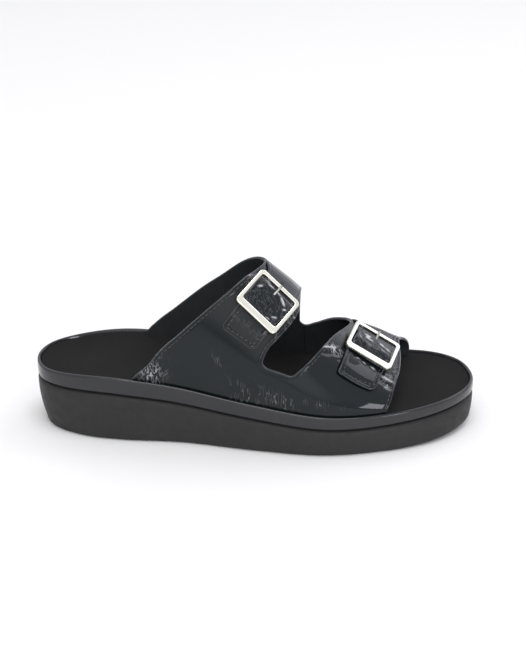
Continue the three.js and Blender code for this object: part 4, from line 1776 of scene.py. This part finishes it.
@dataclass(frozen=True)
class CrinkledPatent:
    """Black patent leather: a clear coat over the hide, crinkled where the mesh says so, with painted glints
    and highlights.
    """

    dark: Colour = rgb(0.0015, 0.0045, 0.0060)
    # Painted highlight: colour of a thin lighter line along every free edge, where its rounding would catch
    # the light.
    edge: Colour = rgb(0.050, 0.052, 0.058)
    # Painted glints: the light grey on crinkles, creases and fold ridges.
    glint: Colour = rgb(0.50, 0.50, 0.53)
    edge_highlight_reach: tuple[float, float] = (0.15, 0.9)
    # Painted shade: coat weight at the crest, lowered to dim its reflection there.
    crest_dimmed_coat: float = 0.6
    # Weights of the painted glints on crinkles and on creases.
    crinkle_glint: float = 0.85
    crease_glint: float = 0.34
    ridge_height: float = 0.35
    crack_height: float = 0.1
    lump_height: float = 0.16
    crease_height: float = 0.3
    wave_height: float = 0.22
    grain_height: float = 0.012
    pore_height: float = 0.0035

    def material(self) -> bpy.types.Material:
        """Makes the material.

        Returns:
            The material.
        """
        paint = Paint("crinkled_patent", coat_weight=1.0, coat_roughness=0.03, coat_ior=1.35,
                      specular_ior_level=0.05)
        # Painted shade: less coat near the crest dims its reflection.
        paint.set("Coat Weight", paint.value("crest").between(0.0, 1.0, 1.0, self.crest_dimmed_coat))
        # Painted highlight along the free edges, with a little random cloud in the hide's colour.
        edge = paint.value("edge_mm").between(*self.edge_highlight_reach, 1.0, 0.0)
        cloud = paint.noise(60, 4)
        hide = paint.mix(edge * 0.8 + cloud * 0.1, self.dark, self.edge)
        ridges = self.lines(paint.noise(300, 2, 0.5, (1.5, 1.0, 0.6)), 0.06)
        cracks = paint.cells(420, "DISTANCE_TO_EDGE").between(0.0, 0.12)
        sparse = paint.noise(110, 2).between(0.46, 0.62)
        creased = self.lines(paint.noise(300, 1, 0.5, (2.0, 1.0, 0.4)), 0.05) * sparse
        crinkle, wrinkle = paint.value("crinkle"), paint.value("wrinkle")
        # Painted glints on crinkles and creases, plus painted highlight on the fold ridges.
        glints = crinkle * crinkle * ridges * self.crinkle_glint + wrinkle * creased * self.crease_glint
        paint.set("Base Color", paint.mix(glints + paint.value("ridge_glint"), hide, self.glint))
        paint.set("Roughness", cloud.between(0.3, 0.7, 0.3, 0.45))
        crumple = ridges * self.ridge_height + cracks * self.crack_height
        crumple += paint.noise(900, 2) * self.lump_height
        grain = paint.noise(70, 2) * self.wave_height + paint.noise(420, 2) * self.grain_height
        grain += paint.noise(1600, 2) * self.pore_height
        paint.relief(grain + crinkle * crumple + wrinkle * creased * self.crease_height)
        return paint.material

    @staticmethod
    def lines(noise: "Val", width: float) -> "Val":
        """Thin lines where a noise crosses its middle."""
        return (noise - 0.5).away().between(0.0, width, 1.0, 0.0)


@dataclass(frozen=True)
class Lining:
    """Smooth dark lining leather with fine pores."""

    dark: Colour = rgb(0.019, 0.0225, 0.025)
    light: Colour = rgb(0.031, 0.0355, 0.039)
    pore_height: float = 0.04
    wave_height: float = 0.05

    def material(self) -> bpy.types.Material:
        """Makes the material.

        Returns:
            The material.
        """
        paint = Paint("lining", roughness=0.5, specular_ior_level=0.35)
        paint.set("Base Color", paint.mix(paint.noise(90, 3), self.dark, self.light))
        paint.relief(paint.cells(1400) * self.pore_height + paint.noise(300, 3) * self.wave_height)
        return paint.material


@dataclass(frozen=True)
class BandPatent:
    """Smooth patent strip with slow waves."""

    dark: Colour = rgb(0.013, 0.014, 0.016)
    light: Colour = rgb(0.024, 0.024, 0.028)
    wave_height: float = 0.2
    grain_height: float = 0.008

    def material(self) -> bpy.types.Material:
        """Makes the material.

        Returns:
            The material.
        """
        paint = Paint("band_patent", coat_weight=1.0, coat_roughness=0.06, coat_ior=1.45,
                      specular_ior_level=0.05)
        cloud = paint.noise(25, 3)
        paint.set("Base Color", paint.mix(cloud, self.dark, self.light))
        paint.set("Roughness", cloud.between(0.3, 0.7, 0.3, 0.4))
        waves = paint.noise(45, 2, 0.5, (1, 1, 0.4))
        paint.relief(waves * self.wave_height + paint.noise(600, 3) * self.grain_height)
        return paint.material


@dataclass(frozen=True)
class FoamRubber:
    """Matt foam rubber with a fine skin."""

    dark: Colour = rgb(0.0185, 0.0185, 0.0185)
    light: Colour = rgb(0.0265, 0.0265, 0.0265)
    skin_height: float = 0.05
    cell_height: float = 0.03

    def material(self) -> bpy.types.Material:
        """Makes the material.

        Returns:
            The material.
        """
        paint = Paint("foam_rubber", specular_ior_level=0.3)
        paint.set("Base Color", paint.mix(paint.noise(35, 4), self.dark, self.light))
        paint.set("Roughness", paint.noise(200, 3).between(0.3, 0.7, 0.5, 0.65))
        paint.relief(paint.noise(1500, 3) * self.skin_height + paint.cells(1100) * self.cell_height)
        return paint.material


@dataclass(frozen=True)
class BrushedNap:
    """Brushed insole cover: matt, with a short nap that lies in slow patches."""

    dark: Colour = rgb(0.010, 0.010, 0.010)
    light: Colour = rgb(0.026, 0.026, 0.0263)
    patch_share: float = 0.45
    nap_height: float = 0.12

    def material(self) -> bpy.types.Material:
        """Makes the material.

        Returns:
            The material.
        """
        paint = Paint("brushed_nap", roughness=0.95, specular_ior_level=0.08)
        fibres = paint.noise(1300, 4, 0.7, (1.0, 0.55, 1.0))
        nap = paint.noise(28, 4, 0.6) * self.patch_share + fibres * (1 - self.patch_share)
        paint.set("Base Color", paint.mix(nap, self.dark, self.light))
        paint.relief(fibres * self.nap_height)
        return paint.material


@dataclass(frozen=True)
class PressedCork:
    """Pressed cork of the hidden core."""

    dark: Colour = rgb(0.16, 0.09, 0.045)
    light: Colour = rgb(0.32, 0.2, 0.11)
    grain_height: float = 0.3

    def material(self) -> bpy.types.Material:
        """Makes the material.

        Returns:
            The material.
        """
        paint = Paint("pressed_cork", roughness=0.85)
        grains = paint.cells(420)
        paint.set("Base Color", paint.mix(grains, self.dark, self.light))
        paint.relief(grains * self.grain_height)
        return paint.material


@dataclass(frozen=True)
class Metal:
    """Metal whose tone and polish drift a little over the piece."""

    name: str
    dark: Colour
    light: Colour
    roughness: tuple[float, float]
    lumps: float = 120
    hairline_height: float = 0.002

    def material(self) -> bpy.types.Material:
        """Makes the material.

        Returns:
            The material.
        """
        paint = Paint(self.name, metallic=1.0)
        cloud = paint.noise(self.lumps, 3)
        paint.set("Base Color", paint.mix(cloud, self.dark, self.light))
        paint.set("Roughness", cloud.between(0.3, 0.7, *self.roughness))
        paint.relief(paint.noise(700, 2, 0.5, (1, 0.2, 1)) * self.hairline_height)
        return paint.material


@dataclass(frozen=True)
class WaxedThread:
    """Waxed black thread."""

    dark: Colour = rgb(0.02, 0.022, 0.025)
    light: Colour = rgb(0.055, 0.058, 0.064)
    twist_height: float = 0.05

    def material(self) -> bpy.types.Material:
        """Makes the material.

        Returns:
            The material.
        """
        paint = Paint("waxed_thread", specular_ior_level=0.6)
        twist = paint.noise(1800, 2, 0.5, (1, 1, 0.3))
        paint.set("Base Color", paint.mix(twist, self.dark, self.light))
        paint.set("Roughness", twist.between(0.3, 0.7, 0.3, 0.45))
        paint.relief(twist * self.twist_height)
        return paint.material


@dataclass(frozen=True)
class ShadedHole:
    """Near-black finish of a punched hole or a cut edge: painted shade for the hole's depth and the edge's
    shadow.
    """

    dark: Colour = rgb(0.001, 0.001, 0.001)
    light: Colour = rgb(0.004, 0.004, 0.004)

    def material(self) -> bpy.types.Material:
        """Makes the material.

        Returns:
            The material.
        """
        paint = Paint("shaded_hole_black", roughness=0.9, specular_ior_level=0.1)
        paint.set("Base Color", paint.mix(paint.noise(900, 2), self.dark, self.light))
        return paint.material


@dataclass(frozen=True)
class PaleFloor:
    """Pale studio floor."""

    dark: Colour = rgb(0.86, 0.86, 0.86)
    light: Colour = rgb(0.87, 0.87, 0.87)

    def material(self) -> bpy.types.Material:
        """Makes the material.

        Returns:
            The material.
        """
        paint = Paint("pale_floor", roughness=0.8, specular_ior_level=0.1)
        paint.set("Base Color", paint.mix(paint.noise(3, 2), self.dark, self.light))
        return paint.material


POLISHED = Metal("plated_metal", rgb(0.90, 0.89, 0.79), rgb(0.97, 0.96, 0.88), (0.14, 0.24))
# Painted shade: a darker copy of the plated metal for the prong, which lies in shadow.
PRONG_SHADE = Metal("prong_in_shade", rgb(0.30, 0.30, 0.28), rgb(0.52, 0.51, 0.47), (0.3, 0.4), 300)
# Painted shade: a dark copy of the plated metal for the centre bar, whose ends lie in shadow.
BAR_SHADE = Metal("bar_in_shade", rgb(0.05, 0.05, 0.05), rgb(0.1, 0.1, 0.1), (0.55, 0.65), 400)


class Finishes:
    """The shoe's materials, each made once."""

    def __init__(self) -> None:
        """Makes them all."""
        self.patent = CrinkledPatent().material()
        self.lining = Lining().material()
        self.band = BandPatent().material()
        self.foam = FoamRubber().material()
        self.nap = BrushedNap().material()
        self.cork = PressedCork().material()
        self.metal = POLISHED.material()
        self.bar_shade = BAR_SHADE.material()
        self.prong_shade = PRONG_SHADE.material()
        self.thread = WaxedThread().material()
        # Near-black finish for holes and the straps' cut edges: painted shade.
        self.hole = ShadedHole().material()


@dataclass(frozen=True)
class Softbox:
    """Soft light on a sphere round the shoe, its directions in degrees.

    The azimuth runs from the viewer's side to the toe's side, and the size and the distance are in metres.
    """

    name: str
    azimuth: float
    elevation: float
    distance: float
    size: tuple[float, float]
    roll: float
    radiance: float
    colour: tuple[float, float, float]

    def light(self, aim: Vector) -> None:
        """Adds the light.

        Args:
            aim: Point that it looks at.
        """
        around, up = math.radians(self.azimuth), math.radians(self.elevation)
        way = Vector((math.sin(around) * math.cos(up), -math.cos(around) * math.cos(up), math.sin(up)))
        data = bpy.data.lights.new(self.name, "AREA")
        data.shape = "RECTANGLE"
        data.size, data.size_y = self.size
        data.color = self.colour
        data.energy = self.radiance * math.pi * self.size[0] * self.size[1]
        light = bpy.data.objects.new(self.name, data)
        light.location = aim + way * self.distance
        turn = way.to_track_quat("Z", "Y") @ Quaternion((0, 0, 1), math.radians(self.roll))
        light.rotation_euler = turn.to_euler()
        bpy.context.scene.collection.objects.link(light)


LAVENDER = (0.90, 0.89, 1.0)
WHITE = (1.0, 1.0, 1.0)
SOFTBOXES = (
    Softbox("low_strip", 35.5, 12.5, 1.6, (0.22, 0.6), -24, 9.0, LAVENDER),
    Softbox("side_box", 120, 46, 1.6, (0.9, 0.45), 0, 2.4, LAVENDER),
    Softbox("top_box", 10, 84, 1.7, (0.8, 0.6), 0, 5.2, WHITE),
    Softbox("front_strip", -12, 46, 1.8, (1.2, 0.2), 0, 5.0, WHITE),
)


@dataclass(frozen=True)
class Glow:
    """Brighter patch of the surroundings: its way, the cosines at its rim and heart, and its colour."""

    way: tuple[float, float, float]
    rim: float
    heart: float
    colour: Colour


@dataclass
class Studio:
    """Floor, surroundings, lights and camera, in the frame's metres."""

    camera_place: tuple[float, float, float] = (0.0324, -0.8383, 0.4613)
    camera_aim: tuple[float, float, float] = (0.0040, 0.0178, 0.0504)
    focal_pixels: float = 1608.18
    picture_height: float = 657
    sensor_width: float = 36
    light_aim: tuple[float, float, float] = (0.03, 0, 0.05)
    floor_reach: float = 6.0
    horizon: Colour = rgb(0.56, 0.56, 0.59)
    zenith: Colour = rgb(0.84, 0.84, 0.85)
    zenith_from: float = 0.6
    glows: tuple[Glow, ...] = (
        Glow((0.60, 0.75, 0.26), 0.90, 0.975, rgb(1.6, 1.58, 1.72)),
        Glow((0.0, -0.93, 0.36), 0.88, 0.99, rgb(1.5, 1.5, 1.52)),
    )

    def build(self) -> None:
        """Makes the whole studio."""
        self.floor()
        self.surroundings()
        for box in SOFTBOXES:
            box.light(Vector(self.light_aim))
        self.camera()

    def floor(self) -> None:
        """Pale floor."""
        mesh = bpy.data.meshes.new("floor")
        reach = self.floor_reach
        corners = [(-reach, -reach, 0), (reach, -reach, 0), (reach, reach, 0), (-reach, reach, 0)]
        mesh.from_pydata(corners, [], [(0, 1, 2, 3)])
        mesh.materials.append(PaleFloor().material())
        floor = bpy.data.objects.new("floor", mesh)
        bpy.context.scene.collection.objects.link(floor)

    def surroundings(self) -> None:
        """Pale surroundings, dimmer towards the horizon, with soft brighter patches."""
        world = bpy.data.worlds.new("studio")
        world.use_nodes = True
        tree = Tree(world.node_tree)
        way = tree.node("ShaderNodeTexCoord", {}, "Generated")
        height = tree.node("ShaderNodeSeparateXYZ", {"Vector": way}, "Z").between(0.0, self.zenith_from)
        light = tree.mix(height, self.horizon, self.zenith)
        for glow in self.glows:
            pair = {0: way, 1: glow.way}
            near = tree.node("ShaderNodeVectorMath", pair, "Value", operation="DOT_PRODUCT")
            light = tree.mix(near.between(glow.rim, glow.heart), light, glow.colour)
        world.node_tree.links.new(light.socket, world.node_tree.nodes["Background"].inputs["Color"])
        bpy.context.scene.world = world

    def camera(self) -> None:
        """Camera at the photograph's angle."""
        data = bpy.data.cameras.new("camera")
        data.sensor_width = self.sensor_width
        data.lens = self.focal_pixels * data.sensor_width / self.picture_height
        data.clip_start, data.clip_end = 0.05, 30
        camera = bpy.data.objects.new("camera", data)
        place, aim = Vector(self.camera_place), Vector(self.camera_aim)
        camera.location = place
        camera.rotation_euler = (aim - place).to_track_quat("-Z", "Y").to_euler()
        bpy.context.scene.collection.objects.link(camera)
        bpy.context.scene.camera = camera


def main() -> None:
    """Builds the scene."""
    logging.basicConfig(level=logging.INFO, format="%(name)s %(message)s")
    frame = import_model()
    Studio().build()
    sole = Sole()
    last = Last(sole)
    maker = Maker(Frame(sole))
    finishes = Finishes()
    SoleUnit(maker, sole).build(finishes, frame["nodes"]["footbed"])
    Upper(maker, last).build(finishes)
    for strap in STRAPS:
        StrapEnd(maker, last, strap).build(finishes)
    bpy.context.scene.view_settings.view_transform = "Standard"


if __name__ == "__main__":
    main()
